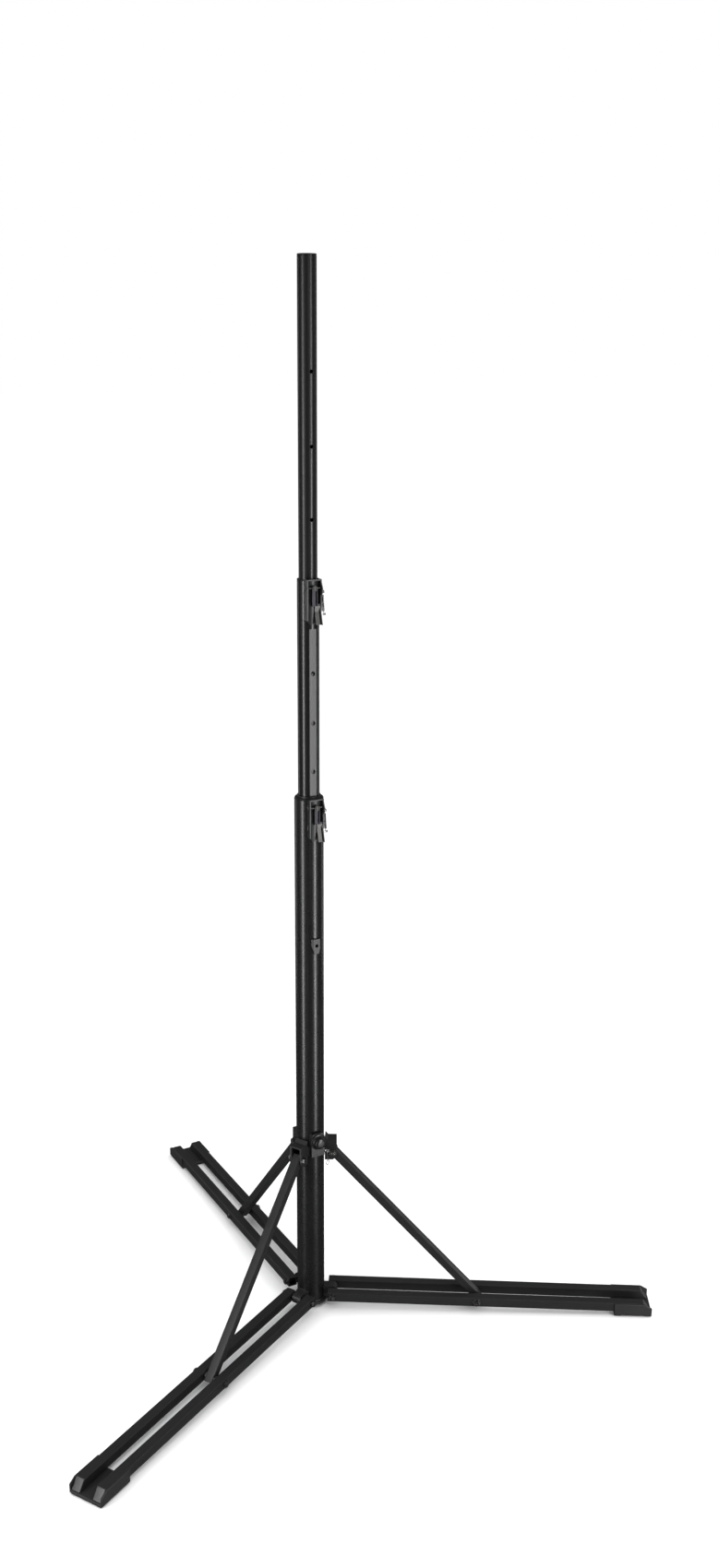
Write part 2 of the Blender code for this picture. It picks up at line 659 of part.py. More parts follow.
def make_foot(leg, frame):
    """The shoe round the rails' ends and the rubber pad under it."""
    front = RAIL_LENGTH + RAIL_END_SLOPE + SHOE_OVERHANG
    back = front - SHOE_LENGTH
    half = RAIL_HEIGHT / 2
    seat = -half - GAP
    under = seat - SHOE_FLOOR
    crest = half - SHOE_TOP_SETBACK
    outline = [(back, under), (front, under), (front, crest - SHOE_NOSE),
               (RAIL_LENGTH + SHOE_OVERHANG, crest), (back, crest)]
    width = RAIL_OUTER + GAP + SHOE_WALL
    name = "foot_shoe_" + leg
    shoe = add_part(name, plate(name, outline, "xz", -width, width), "black_plastic", frame)
    round_edges(shoe, SHOE_ROUND, 1)
    cut(shoe, box("shoe_channel", (back - half, -RAIL_OUTER - GAP, seat),
                  (front + half, RAIL_OUTER + GAP, 2 * half)))
    top = under - GAP
    web = top - PAD_WEB
    heel = back + PAD_INSET
    toe = front - PAD_INSET
    outline = [(heel, top), (heel, floor_level(heel)),
               (heel + PAD_LENGTH, floor_level(heel + PAD_LENGTH)), (heel + PAD_LENGTH, web),
               (toe - PAD_LENGTH, web), (toe - PAD_LENGTH, floor_level(toe - PAD_LENGTH)),
               (toe, floor_level(toe)), (toe, top)]
    name = "foot_pad_" + leg
    add_part(name, plate(name, outline, "xz", -RAIL_OUTER, RAIL_OUTER), "rubber", frame)


def make_leg(leg, azimuth):
    """One leg: two rails, its foot, the hub bolt and sleeve, and the two ends of the brace bolt."""
    turn = math.radians(azimuth)
    place = (LEG_PIVOT_REACH * math.cos(turn), LEG_PIVOT_REACH * math.sin(turn), LEG_PIVOT_HEIGHT)
    frame = new_frame("leg_hinge_" + leg, place, (0.0, DROP, turn))
    make_rail("rail_left_" + leg, 1, frame)
    make_rail("rail_right_" + leg, -1, frame)
    make_foot(leg, frame)
    shoulder = RAIL_OUTER + GAP
    turned_solid("hub_bolt_" + leg, "zinc", bolt_profile(shoulder),
                 frame, (0, 0, 0), ALONG_Y)
    sleeve = RAIL_SPACE / 2 - GAP
    ring = tube_profile(SLEEVE_RADIUS, BOLT_RADIUS + PIN_CLEARANCE, -sleeve, sleeve)
    tube = turned_ring("hub_sleeve_" + leg, "zinc", ring, frame, SMALL_ROUND)
    tube.rotation_euler = ALONG_Y
    inner = RAIL_SPACE / 2 + GAP
    turned_solid("brace_bolt_" + leg, "zinc", stub_profile(inner, shoulder),
                 frame, (BRACE_BOLT_REACH, 0, 0), ALONG_FRONT)
    turned_solid("brace_nut_" + leg, "zinc", stub_profile(inner, shoulder),
                 frame, (BRACE_BOLT_REACH, 0, 0), ALONG_Y)


def make_brace(leg, azimuth):
    """A brace from the collar's lug to the leg, with the sleeve of its lower bolt."""
    turn = math.radians(azimuth)
    place = (BRACE_PIVOT_REACH * math.cos(turn), BRACE_PIVOT_REACH * math.sin(turn),
             BRACE_PIVOT_HEIGHT)
    frame = new_frame("brace_hinge_" + leg, place, (0.0, math.atan2(BRACE_FALL, BRACE_OUT), turn))
    half_width = BRACE_WIDTH / 2
    half_depth = BRACE_DEPTH / 2
    name = "brace_" + leg
    low = (-BRACE_HEAD, -half_width, -half_depth)
    high = (BRACE_LENGTH + BRACE_FOOT, half_width, half_depth)
    brace = add_part(name, box(name, low, high), "black_paint", frame)
    round_edges(brace, BRACE_ROUND)
    wide = half_width - BRACE_WALL
    deep = half_depth - BRACE_WALL
    cut(brace, box("brace_hollow", (-2 * BRACE_HEAD, -wide, -deep),
                   (BRACE_LENGTH + 2 * BRACE_FOOT, wide, deep)))
    for radius, reach in ((BOLT_RADIUS, 0.0), (SLEEVE_RADIUS, BRACE_LENGTH)):
        cut(brace, rod("brace_eye", radius + PIN_CLEARANCE,
                       (reach, -BRACE_WIDTH, 0), (reach, BRACE_WIDTH, 0)))
    half = RAIL_SPACE / 2 - GAP
    turned_solid("brace_sleeve_" + leg, "zinc",
                 [(0.0, half), (SLEEVE_RADIUS, half), (SLEEVE_RADIUS, -half), (0.0, -half)],
                 frame, (BRACE_LENGTH, 0, 0), ALONG_Y)
    bolt_frame = new_frame("collar_bolt_seat_" + leg, place, (0.0, 0.0, turn))
    shoulder = BRACE_WIDTH / 2 + LUG_CLEARANCE + LUG_PLATE + GAP
    turned_solid("collar_bolt_" + leg, "zinc", bolt_profile(shoulder),
                 bolt_frame, (0, 0, 0), ALONG_Y)


def lug_outline():
    """A collar lug's side view, out from the mast's axis."""
    top = COLLAR_CENTRE + LUG_RISE
    foot = COLLAR_CENTRE - LUG_FALL
    root = COLLAR_BORE + COLLAR_WALL / 2
    return [(root, foot), (LUG_REACH - LUG_CORNER, foot), (LUG_REACH, foot + LUG_CORNER),
            (LUG_REACH, top), (COLLAR_RADIUS + LUG_THROAT, top), (root, top + LUG_CORNER)]


def make_collar():
    """The sliding collar: a ring, three lugs, the knob's tab, and the notch for the catch plate."""
    low = COLLAR_CENTRE - COLLAR_HEIGHT / 2
    high = COLLAR_CENTRE + COLLAR_HEIGHT / 2
    collar = turned_solid("collar", "black_paint", [
        (0.0, high), (COLLAR_RADIUS, high), (COLLAR_RADIUS, low), (0.0, low)],
        None, (0, 0, 0), (0, 0, 0), ROUND)
    inner = BRACE_WIDTH / 2 + LUG_CLEARANCE
    outer = inner + LUG_PLATE
    web = COLLAR_CENTRE + LUG_RISE - LUG_WEB
    for azimuth in LEG_AZIMUTHS.values():
        join(collar, turn_about_mast(plate("collar_lug", lug_outline(), "xz", -outer, outer), azimuth))
    side = TAB_HALF_WIDTH
    top = COLLAR_CENTRE + TAB_RISE
    outline = [(-side, low), (side, low)]
    outline += arc((side - TAB_CORNER, top - TAB_CORNER), TAB_CORNER, 0.0, 90.0, 6)
    outline += arc((TAB_CORNER - side, top - TAB_CORNER), TAB_CORNER, 90.0, 180.0, 6)
    join(collar, plate("knob_tab", outline, "xz", -TAB_FACE, -COLLAR_BORE / 2))
    boss = rod("plunger_boss", PLUNGER_BOSS_RADIUS,
               (COLLAR_BORE + COLLAR_WALL / 2, 0, PLUNGER_HEIGHT),
               (PLUNGER_BOSS_REACH, 0, PLUNGER_HEIGHT))
    join(collar, turn_about_mast(boss, PLUNGER_AZIMUTH))
    for azimuth in LEG_AZIMUTHS.values():
        pocket = box("lug_throat", (COLLAR_RADIUS - GAP, -inner, 0), (2 * LUG_REACH, inner, web))
        cut(collar, turn_about_mast(pocket, azimuth))
        eye = rod("lug_eye", BOLT_RADIUS + PIN_CLEARANCE,
                  (BRACE_PIVOT_REACH, -2 * outer, BRACE_PIVOT_HEIGHT),
                  (BRACE_PIVOT_REACH, 2 * outer, BRACE_PIVOT_HEIGHT))
        cut(collar, turn_about_mast(eye, azimuth))
    cut(collar, rod("collar_bore", COLLAR_BORE, (0, 0, 0), (0, 0, 2 * COLLAR_CENTRE), ROUND))
    cut(collar, catch_notch())
    cut(collar, front_hole(KNOB_PIN_RADIUS + PIN_CLEARANCE, KNOB_HEIGHT))
    pin = rod("plunger_bore", PLUNGER_RADIUS + PIN_CLEARANCE, (0, 0, PLUNGER_HEIGHT),
              (2 * PLUNGER_BOSS_REACH, 0, PLUNGER_HEIGHT))
    cut(collar, turn_about_mast(pin, PLUNGER_AZIMUTH))


def catch_notch():
    """The notch down the collar's front that lets the catch plate pass."""
    return box("catch_notch", (-NOTCH_HALF_WIDTH, -NOTCH_FACE, 0),
               (NOTCH_HALF_WIDTH, 0, 2 * COLLAR_CENTRE))


def make_knob():
    """The spring-loaded pull knob, its pin drawn clear of the tube and the catch plate."""
    tip = CATCH_FACE + GAP
    seat = TAB_FACE + GAP
    flange = seat + KNOB_FLANGE_HEIGHT
    end = flange + KNOB_DOME_HEIGHT
    profile = [(0.0, end)]
    profile += reversed(arc((KNOB_DOME_RADIUS - KNOB_CROWN, end - KNOB_CROWN), KNOB_CROWN,
                            0.0, 90.0, 4))
    profile += [(KNOB_DOME_RADIUS, flange), (KNOB_FLANGE_RADIUS, flange),
                (KNOB_FLANGE_RADIUS, seat), (KNOB_PIN_RADIUS, seat), (KNOB_PIN_RADIUS, tip),
                (0.0, tip)]
    turned_solid("lock_knob", "black_plastic", profile, None, (0, 0, KNOB_HEIGHT),
                 ALONG_FRONT, 32)


def make_plunger():
    """The small pull pin beside the knob, and the wire ring that hangs in its neck."""
    tip = MAIN_RADIUS + GAP
    seat = PLUNGER_BOSS_REACH + GAP
    neck_start = seat + PLUNGER_HEAD_LENGTH
    neck_end = neck_start + PLUNGER_NECK_LENGTH
    end = neck_end + PLUNGER_HEAD_LENGTH / 2
    frame = new_frame("plunger_axis", (0, 0, PLUNGER_HEIGHT),
                      (0.0, 0.0, math.radians(PLUNGER_AZIMUTH)))
    turned_solid("ring_plunger", "bright_steel", [
        (0.0, end), (PLUNGER_HEAD_RADIUS, end), (PLUNGER_HEAD_RADIUS, neck_end),
        (PLUNGER_RADIUS, neck_end), (PLUNGER_RADIUS, neck_start),
        (PLUNGER_HEAD_RADIUS, neck_start), (PLUNGER_HEAD_RADIUS, seat), (PLUNGER_RADIUS, seat),
        (PLUNGER_RADIUS, tip), (0.0, tip)],
        frame, (0, 0, 0), ALONG_X)
    eye = PLUNGER_RADIUS + RING_WIRE + PIN_CLEARANCE
    points = arc((0.0, 0.0), eye, -RING_EYE_OPEN, 180.0 + RING_EYE_END, 18)
    points += arc((0.0, -RING_HANG - RING_RADIUS), RING_RADIUS, 90.0, 90.0 + RING_TURN, 24)
    curve = bpy.data.curves.new("pull_ring", "CURVE")
    curve.dimensions = "3D"
    curve.bevel_depth = RING_WIRE
    curve.bevel_resolution = 2
    curve.use_fill_caps = True
    spline = curve.splines.new("POLY")
    spline.points.add(len(points) - 1)
    middle = (neck_start + neck_end) / 2
    for point, (across, up) in zip(spline.points, points):
        point.co = (middle, across, up, 1.0)
    add_part("pull_ring", finished_mesh("pull_ring", curve_shape(curve)), "bright_steel", frame)


def make_catch():
    """The tapered catch plate on the main tube, hugging the tube, with its screw."""
    low = CATCH_HEIGHT - CATCH_BELOW
    high = CATCH_HEIGHT + CATCH_ABOVE
    root = math.sqrt(MAIN_RADIUS ** 2 - CATCH_HALF_WIDTH ** 2)
    section = [(-CATCH_HALF_WIDTH, -root), (-CATCH_HALF_WIDTH, -MAIN_RADIUS),
               (-CATCH_HALF_FACE, -CATCH_FACE), (CATCH_HALF_FACE, -CATCH_FACE),
               (CATCH_HALF_WIDTH, -MAIN_RADIUS), (CATCH_HALF_WIDTH, -root),
               (0.0, -MAIN_RADIUS / 2)]
    catch = add_part("catch_plate", plate("catch_plate", section, "xy", low, high), "black_paint")
    knee = low + CATCH_TAPER
    wide = 2 * CATCH_HALF_WIDTH
    for side in (-1, 1):
        corner = [(side * CATCH_TIP, low - GAP), (side * wide, low - GAP), (side * wide, knee),
                  (side * CATCH_HALF_WIDTH, knee)]
        cut(catch, plate("catch_corner", corner, "xz", -2 * CATCH_FACE, 0.0))
    cut(catch, rod("catch_seat", MAIN_RADIUS + GAP, (0, 0, low - GAP), (0, 0, high + GAP), ROUND))
    cut(catch, front_hole(KNOB_PIN_RADIUS + PIN_CLEARANCE, CATCH_HEIGHT))
    level = high - SCREW_DROP
    cut(catch, front_hole(SCREW_RADIUS + PIN_CLEARANCE, level))
    add_part("catch_screw", rod("catch_screw", SCREW_RADIUS, (0, -CATCH_FACE, level),
                                (0, -MAIN_RADIUS - GAP, level)), "bright_steel")


def make_bracket(prefix, radius, tube_top):
    """A latch's bracket: a saddle with a rounded chin, side plates, an ear and a top plate."""
    frame = new_frame(prefix + "_latch_seat", (0, 0, tube_top))
    name = prefix + "_latch_bracket"
    half = LATCH_HALF_WIDTH
    inner = half - LATCH_PLATE
    front = radius + LATCH_DEPTH
    back = radius / 2
    saddle = radius + SADDLE_WALL
    side = inner + LATCH_PLATE / 2
    chin = [(side, 0.0), (-side, 0.0), (-side, -LATCH_FALL), (-CHIN_HALF_WIDTH, -CHIN_FALL),
            (CHIN_HALF_WIDTH, -CHIN_FALL), (side, -LATCH_FALL)]
    bracket = add_part(name, plate(name, chin, "xz", -front, -back), "black_paint", frame)
    keep(bracket, rod("saddle_face", saddle, (0, 0, -2 * CHIN_FALL), (0, 0, CHIN_FALL), ROUND))
    for low, high in ((-half, -inner), (inner, half)):
        join(bracket, box("side_plate", (low, -front, -LATCH_FALL), (high, -back, LATCH_RISE)))
    join(bracket, box("top_plate", (-half, -front, LATCH_RISE - LATCH_TOP_PLATE),
                      (half, -back, LATCH_RISE)))
    ear_front = -front - EAR_DEPTH
    ear = [(-front + LATCH_PLATE, -EAR_TOP), (-front, -EAR_TOP),
           (ear_front, -EAR_TOP - 2 * EAR_CORNER), (ear_front, -EAR_BOTTOM + EAR_CORNER),
           (-front, -EAR_BOTTOM), (-front + LATCH_PLATE, -EAR_BOTTOM)]
    join(bracket, plate("latch_ear", ear, "yz", inner, half))
    cut(bracket, rod("latch_bore", radius + GAP, (0, 0, -2 * CHIN_FALL), (0, 0, CHIN_FALL), ROUND))
    cut(bracket, tooth_window(radius, 0.0))
    cut(bracket, rod("pin_eye", LEVER_PIN_RADIUS + PIN_CLEARANCE,
                     (-2 * half, -radius - LEVER_OUT, -LEVER_DROP),
                     (2 * half, -radius - LEVER_OUT, -LEVER_DROP)))
    hole = STUD_RADIUS + PIN_CLEARANCE
    cut(bracket, rod("stud_eye", hole, (0, -radius - STUD_OUT, -STUD_DROP),
                     (2 * half, -radius - STUD_OUT, -STUD_DROP)))
    cut(bracket, box("bolt_slot", (inner - GAP, -2 * front, -BOLT_DROP - 2 * hole),
                     (half + GAP, -radius - BOLT_OUT + 2 * hole, -BOLT_DROP + 3 * hole)))
    turned_solid(prefix + "_spring_post", "bright_steel",
                 headed_stud(inner, SPRING_OFFSET + SPRING_RADIUS), frame,
                 (0, -radius - STUD_OUT, -STUD_DROP), ALONG_X)
    side = half + GAP
    turned_solid(prefix + "_lever_pin", "bright_steel", double_headed(
        side, LEVER_PIN_RADIUS, PIN_HEAD_RADIUS, PIN_HEAD_HEIGHT), frame,
        (0, -radius - LEVER_OUT, -LEVER_DROP), ALONG_X)


def headed_stud(start, end):
    """A riveted stud between two distances, with a head at its outer end."""
    return [
        (0.0, end + STUD_HEAD_HEIGHT),
        (STUD_HEAD_RADIUS, end + STUD_HEAD_HEIGHT),
        (STUD_HEAD_RADIUS, end),
        (STUD_RADIUS, end),
        (STUD_RADIUS, start),
        (0.0, start),
    ]


def make_lever(prefix, radius, inner_radius, tube_top):
    """A latch's lever with its thumb tab and tooth, and the bolt and spring that close it."""
    pivot = radius + LEVER_OUT
    frame = new_frame(prefix + "_lever_hinge", (0, -pivot, tube_top - LEVER_DROP))
    face = LEVER_BACK - LEVER_SHEET
    outline = [(LEVER_BACK, -LEVER_LENGTH), (LEVER_BACK, 0.0)]
    start = math.degrees(math.acos(LEVER_BACK / LEVER_LUG))
    outline += arc((0.0, 0.0), LEVER_LUG, start, 180.0, 8)
    outline += [(-LEVER_FLANGE, -LEVER_LUG), (-LEVER_FLANGE, LEVER_LUG - LEVER_LENGTH),
                (face, -LEVER_LENGTH)]
    name = prefix + "_latch_lever"
    half = LEVER_HALF_WIDTH
    lever = add_part(name, plate(name, outline, "yz", -half, half), "zinc", frame)
    inside = half - LEVER_SHEET
    cut(lever, box("lever_channel", (-inside, -2 * LEVER_FLANGE, -2 * LEVER_LENGTH),
                   (inside, face, 2 * LEVER_LUG)))
    cut(lever, box("pin_room", (-inside, -2 * LEVER_FLANGE, -LEVER_LUG),
                   (inside, 2 * LEVER_LUG, 2 * LEVER_LUG)))
    thumb = [(LEVER_BACK, -THUMB_START), (face, -THUMB_START), (face, -THUMB_BEND),
             (face - THUMB_FLARE, -THUMB_END), (LEVER_BACK - THUMB_FLARE, -THUMB_END),
             (LEVER_BACK, -THUMB_BEND)]
    join(lever, plate("thumb_tab", thumb, "yz", THUMB_INNER, THUMB_OUTER))
    flange = [(LEVER_BACK, -THUMB_START - LEVER_LUG), (face - THUMB_FLANGE, -THUMB_BEND),
              (face - THUMB_FLARE - THUMB_FLANGE, -THUMB_END),
              (LEVER_BACK - THUMB_FLARE, -THUMB_END), (LEVER_BACK, -THUMB_BEND)]
    join(lever, plate("thumb_flange", flange, "yz", THUMB_OUTER - LEVER_SHEET, THUMB_OUTER))
    level = LEVER_DROP - TOOTH_DROP
    tip = pivot - inner_radius - TOOTH_CLEARANCE
    join(lever, box("lever_tooth",
                    (-TOOTH_HALF_WIDTH, face + LEVER_SHEET / 2, level - TOOTH_HALF_HEIGHT),
                    (TOOTH_HALF_WIDTH, tip, level + TOOTH_HALF_HEIGHT)))
    cut(lever, rod("lever_eye", LEVER_PIN_RADIUS + PIN_CLEARANCE, (-2 * half, 0, 0), (2 * half, 0, 0)))
    bolt = Vector((0.0, LEVER_OUT - BOLT_OUT, LEVER_DROP - BOLT_DROP))
    stud = Vector((0.0, LEVER_OUT - STUD_OUT, LEVER_DROP - STUD_DROP))
    cut(lever, rod("bolt_eye", STUD_RADIUS + PIN_CLEARANCE,
                   bolt + Vector((THUMB_INNER, 0, 0)),
                   bolt + Vector((2 * THUMB_OUTER, 0, 0))))
    turned_solid(prefix + "_lever_bolt", "bright_steel",
                 headed_stud(THUMB_OUTER - LEVER_SHEET, SPRING_OFFSET + SPRING_RADIUS),
                 frame, bolt, ALONG_X)
    along = stud - bolt
    eye = STUD_RADIUS + GAP
    reach = along.length / 2 - eye
    middle = (stud + bolt) / 2
    tilt = math.atan2(-along.y, along.z)
    turned_solid(prefix + "_latch_spring", "bright_steel", [
        (0.0, reach), (STUD_RADIUS, reach), (SPRING_RADIUS, reach - SPRING_EYE),
        (SPRING_RADIUS, SPRING_EYE - reach), (STUD_RADIUS, -reach), (0.0, -reach)],
        frame, (SPRING_OFFSET, middle.y, middle.z), (tilt, 0, 0), 16)


clear_scene()
PARTS = new_collection("mast_stand")
CUTTERS = new_collection("cutters")
FRAMES = new_collection("joint_frames")

make_mast_tubes()
make_bushes()
make_hub()
make_collar()
make_knob()
make_plunger()
make_catch()
for leg_name, leg_azimuth in LEG_AZIMUTHS.items():
    make_leg(leg_name, leg_azimuth)
    make_brace(leg_name, leg_azimuth)
for latch_name, outer_radius, inner_tube_radius, latch_top in (
        ("lower", MAIN_RADIUS, MID_RADIUS, MAIN_TOP), ("upper", MID_RADIUS, TOP_RADIUS, MID_TOP)):
    make_bracket(latch_name, outer_radius, latch_top)
    make_lever(latch_name, outer_radius, inner_tube_radius, latch_top)
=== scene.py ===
"""Looks of the telescopic lighting stand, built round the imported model.

The rails, braces, hub, collar, brackets, levers, shoes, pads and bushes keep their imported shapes, as merged
copies with soft edges. The mast tubes, bolts, nuts, springs, knob, pull pin, ring, studs, screw, cap and weld
beads are new surfaces.
"""
import json
import math

import bmesh
import bpy
import numpy as np
from mathutils import Matrix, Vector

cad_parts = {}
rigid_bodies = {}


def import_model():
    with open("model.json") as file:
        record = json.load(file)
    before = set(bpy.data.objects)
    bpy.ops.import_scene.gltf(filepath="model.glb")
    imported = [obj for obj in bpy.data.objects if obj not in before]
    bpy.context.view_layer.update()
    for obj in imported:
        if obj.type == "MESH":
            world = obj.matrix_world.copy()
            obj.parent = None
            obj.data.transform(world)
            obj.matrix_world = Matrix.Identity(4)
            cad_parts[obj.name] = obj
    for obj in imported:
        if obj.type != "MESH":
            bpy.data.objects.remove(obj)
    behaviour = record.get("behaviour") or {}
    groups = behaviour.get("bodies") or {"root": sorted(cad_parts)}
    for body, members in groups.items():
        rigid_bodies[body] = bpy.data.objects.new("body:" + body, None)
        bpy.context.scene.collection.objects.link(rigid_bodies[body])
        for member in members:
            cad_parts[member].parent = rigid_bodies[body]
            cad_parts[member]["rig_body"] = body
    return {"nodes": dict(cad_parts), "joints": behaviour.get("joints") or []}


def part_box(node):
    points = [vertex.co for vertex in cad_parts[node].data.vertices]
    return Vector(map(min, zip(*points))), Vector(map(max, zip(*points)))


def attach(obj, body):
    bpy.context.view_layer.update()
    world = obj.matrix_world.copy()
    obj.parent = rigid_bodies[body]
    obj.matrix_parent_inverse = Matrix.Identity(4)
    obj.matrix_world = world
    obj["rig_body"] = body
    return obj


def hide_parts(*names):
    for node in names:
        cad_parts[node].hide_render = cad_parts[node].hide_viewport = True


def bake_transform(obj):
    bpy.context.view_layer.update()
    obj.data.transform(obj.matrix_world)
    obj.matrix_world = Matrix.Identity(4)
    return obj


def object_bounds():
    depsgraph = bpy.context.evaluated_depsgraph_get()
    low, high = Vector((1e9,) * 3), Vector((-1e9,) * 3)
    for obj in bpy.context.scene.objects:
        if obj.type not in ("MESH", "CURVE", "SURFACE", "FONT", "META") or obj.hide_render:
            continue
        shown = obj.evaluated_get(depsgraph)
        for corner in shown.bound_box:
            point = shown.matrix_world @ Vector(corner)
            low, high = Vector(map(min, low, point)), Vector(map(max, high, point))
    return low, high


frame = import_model()
CAD_LOW, CAD_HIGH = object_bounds()
NODES = frame["nodes"]
JOINTS = {joint["name"]: joint for joint in frame["joints"]}
LEGS = "abc"
UP = np.array((0.0, 0.0, 1.0))
FRONT = np.array((0.0, -1.0, 0.0))

# sizes of the real pieces, in metres
BOLT_SHANK = 0.0040             # radii of the bolts' shanks, heads and washers
BOLT_HEAD = 0.0066
WASHER_WIDE = 0.0082
WASHER_HIGH = 0.0012
HEAD_HIGH = 0.0045
TOOTH_DROP = 0.0400             # tube top to the latch tooth
TOOTH_HALF_HIGH = 0.0025
WINDOW_HALF_WIDE = 0.0042
TUBE_WALL = 0.0020
TOP_WALL = 0.0018
FLAT_DEEP = 0.0013              # the flat strip down the mid tube's front
FLAT_DROP = 0.0902              # tube top to the strip's upper end
LUG_FALL = 0.0275               # collar centre to its lugs' feet
STUD_RISE = 0.0011              # a stud's domed head
STUD_SHANK = 0.0014


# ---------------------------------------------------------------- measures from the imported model

def low(node):
    """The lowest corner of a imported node."""
    return np.array(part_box(node)[0])


def high(node):
    """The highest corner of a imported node."""
    return np.array(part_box(node)[1])


def middle(node):
    """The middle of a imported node's box."""
    return (low(node) + high(node)) / 2


def size(node):
    """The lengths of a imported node's box."""
    return high(node) - low(node)


def pivot(joint):
    """A hinge's point."""
    return np.array(JOINTS[joint]["pos_m"], float)


def azimuth(leg):
    """The direction of a leg out from the mast, in radians."""
    x, y, _ = pivot(f"leg_{leg}_hinge")
    return math.atan2(y, x)


# ---------------------------------------------------------------- surfaces

def unit(vectors):
    """Vectors divided by their own lengths."""
    vectors = np.asarray(vectors, float)
    return vectors / np.linalg.norm(vectors, axis=-1, keepdims=True)


def sheet(points, wrap_rows=False, wrap_columns=True, capped=True):
    """The shell over a grid of points: P(i, j) joined to P(i+1, j), P(i+1, j+1) and P(i, j+1).
    Rows and columns may join round, and open first and last rows are closed by a fan to their mean."""
    rows, columns, _ = points.shape
    index = np.arange(rows * columns).reshape(rows, columns)
    here = index if wrap_rows else index[:-1]
    there = np.roll(index, -1, axis=0) if wrap_rows else index[1:]
    if wrap_columns:
        right, far = np.roll(here, -1, axis=1), np.roll(there, -1, axis=1)
    else:
        here, there, right, far = here[:, :-1], there[:, :-1], here[:, 1:], there[:, 1:]
    quads = np.stack([here, right, far, there], -1).reshape(-1, 4)
    vertices = points.reshape(-1, 3)
    faces = quads.tolist()
    if capped and not wrap_rows:
        count = len(vertices)
        vertices = np.vstack([vertices, points[0].mean(0), points[-1].mean(0)])
        first, last = index[0], index[-1]
        faces += np.stack([np.roll(first, -1), first, np.full(columns, count)], -1).tolist()
        faces += np.stack([last, np.roll(last, -1), np.full(columns, count + 1)], -1).tolist()
    return outward(vertices, faces)


def outward(vertices, faces):
    """A closed shell with its faces turned outwards.
    The sum of a.(b x c)/6 over its triangles is then positive."""
    three = np.array([face[:3] for face in faces] + [[f[0], f[2], f[3]] for f in faces if len(f) == 4])
    a, b, c = (vertices[three[:, k]] for k in range(3))
    volume = np.einsum("ij,ij->i", a, np.cross(b, c)).sum()
    if volume < 0:
        faces = [face[::-1] for face in faces]
    return vertices, faces


def across(axis):
    """Two unit vectors square to an axis and to each other."""
    axis = unit(axis)
    helper = UP if abs(axis[2]) < 0.9 else np.array((1.0, 0.0, 0.0))
    first = unit(np.cross(helper, axis))
    return first, np.cross(axis, first)


def rounded(profile, radius, steps=4):
    """A polyline with each inner corner replaced by the quadratic curve (1-t)^2 A + 2t(1-t) B + t^2 C,
    whose ends lie the radius away from the corner along its two sides, or half a side if that is less."""
    profile = np.asarray(profile, float)
    before, corner, after = profile[:-2], profile[1:-1], profile[2:]
    back, ahead = before - corner, after - corner
    back_length = np.linalg.norm(back, axis=1, keepdims=True)
    ahead_length = np.linalg.norm(ahead, axis=1, keepdims=True)
    start = corner + back * np.minimum(radius / back_length, 0.45)
    end = corner + ahead * np.minimum(radius / ahead_length, 0.45)
    t = np.linspace(0.0, 1.0, steps + 1)[None, :, None]
    curve = (1 - t) ** 2 * start[:, None] + 2 * t * (1 - t) * corner[:, None] + t ** 2 * end[:, None]
    return np.vstack([profile[:1], curve.reshape(-1, profile.shape[1]), profile[-1:]])


def turned(profile, origin, axis, segments=48, ring=False, swell=None, angles=None):
    """A turned surface: origin + along * axis + radius * (cos q * e1 + sin q * e2).
    The profile holds (radius, along) pairs. swell(q, radius, along) may change the radius with the angle."""
    profile = np.asarray(profile, float)
    axis = unit(axis)
    first, second = across(axis)
    angle = np.linspace(0.0, 2 * math.pi, segments, endpoint=False)[None, :]
    if angles is not None:
        angle = np.asarray(angles)[None, :]
    radius, along = profile[:, :1], profile[:, 1:]
    wide = radius + 0 * angle if swell is None else swell(angle, radius + 0 * angle, along + 0 * angle)
    direction = np.cos(angle)[..., None] * first + np.sin(angle)[..., None] * second
    points = np.asarray(origin) + along[..., None] * axis + wide[..., None] * direction
    return sheet(points, wrap_rows=ring, capped=not ring)


def swept(path, radius, side, sides=10, closed=False):
    """A round wire: path + radius * (cos q * a + sin q * b).
    a is the side direction, squared to the path."""
    path = np.asarray(path, float)
    step = np.roll(path, -1, 0) - np.roll(path, 1, 0) if closed else np.gradient(path, axis=0)
    along = unit(step)
    side = np.broadcast_to(np.asarray(side, float), path.shape)
    first = unit(side - np.sum(side * along, 1, keepdims=True) * along)
    second = np.cross(along, first)
    angle = np.linspace(0.0, 2 * math.pi, sides, endpoint=False)
    thick = np.broadcast_to(np.asarray(radius, float), (len(path),))[:, None, None]
    ring = np.cos(angle)[None, :, None] * first[:, None] + np.sin(angle)[None, :, None] * second[:, None]
    return sheet(path[:, None] + thick * ring, wrap_rows=closed, capped=not closed)


def loop(centre, radius, first, second, start, end, count):
    """Points of an arc: centre + radius * (cos q * first + sin q * second).
    q runs in degrees from start to end."""
    angle = np.radians(np.linspace(start, end, count))[:, None]
    return np.asarray(centre) + radius * (np.cos(angle) * first + np.sin(angle) * second)


def hexagon(corner_radius):
    """The swell of a six-sided head: r = a / cos(q mod 60 - 30), a being the flat's distance,
    where the profile's radius is that of a corner, and no more than the corner's radius after its chamfer."""
    flat = corner_radius * math.cos(math.pi / 6)

    def swell(angle, radius, _along):
        edge = flat / np.cos(np.mod(angle, math.pi / 3) - math.pi / 6)
        return np.minimum(radius, edge)
    return swell


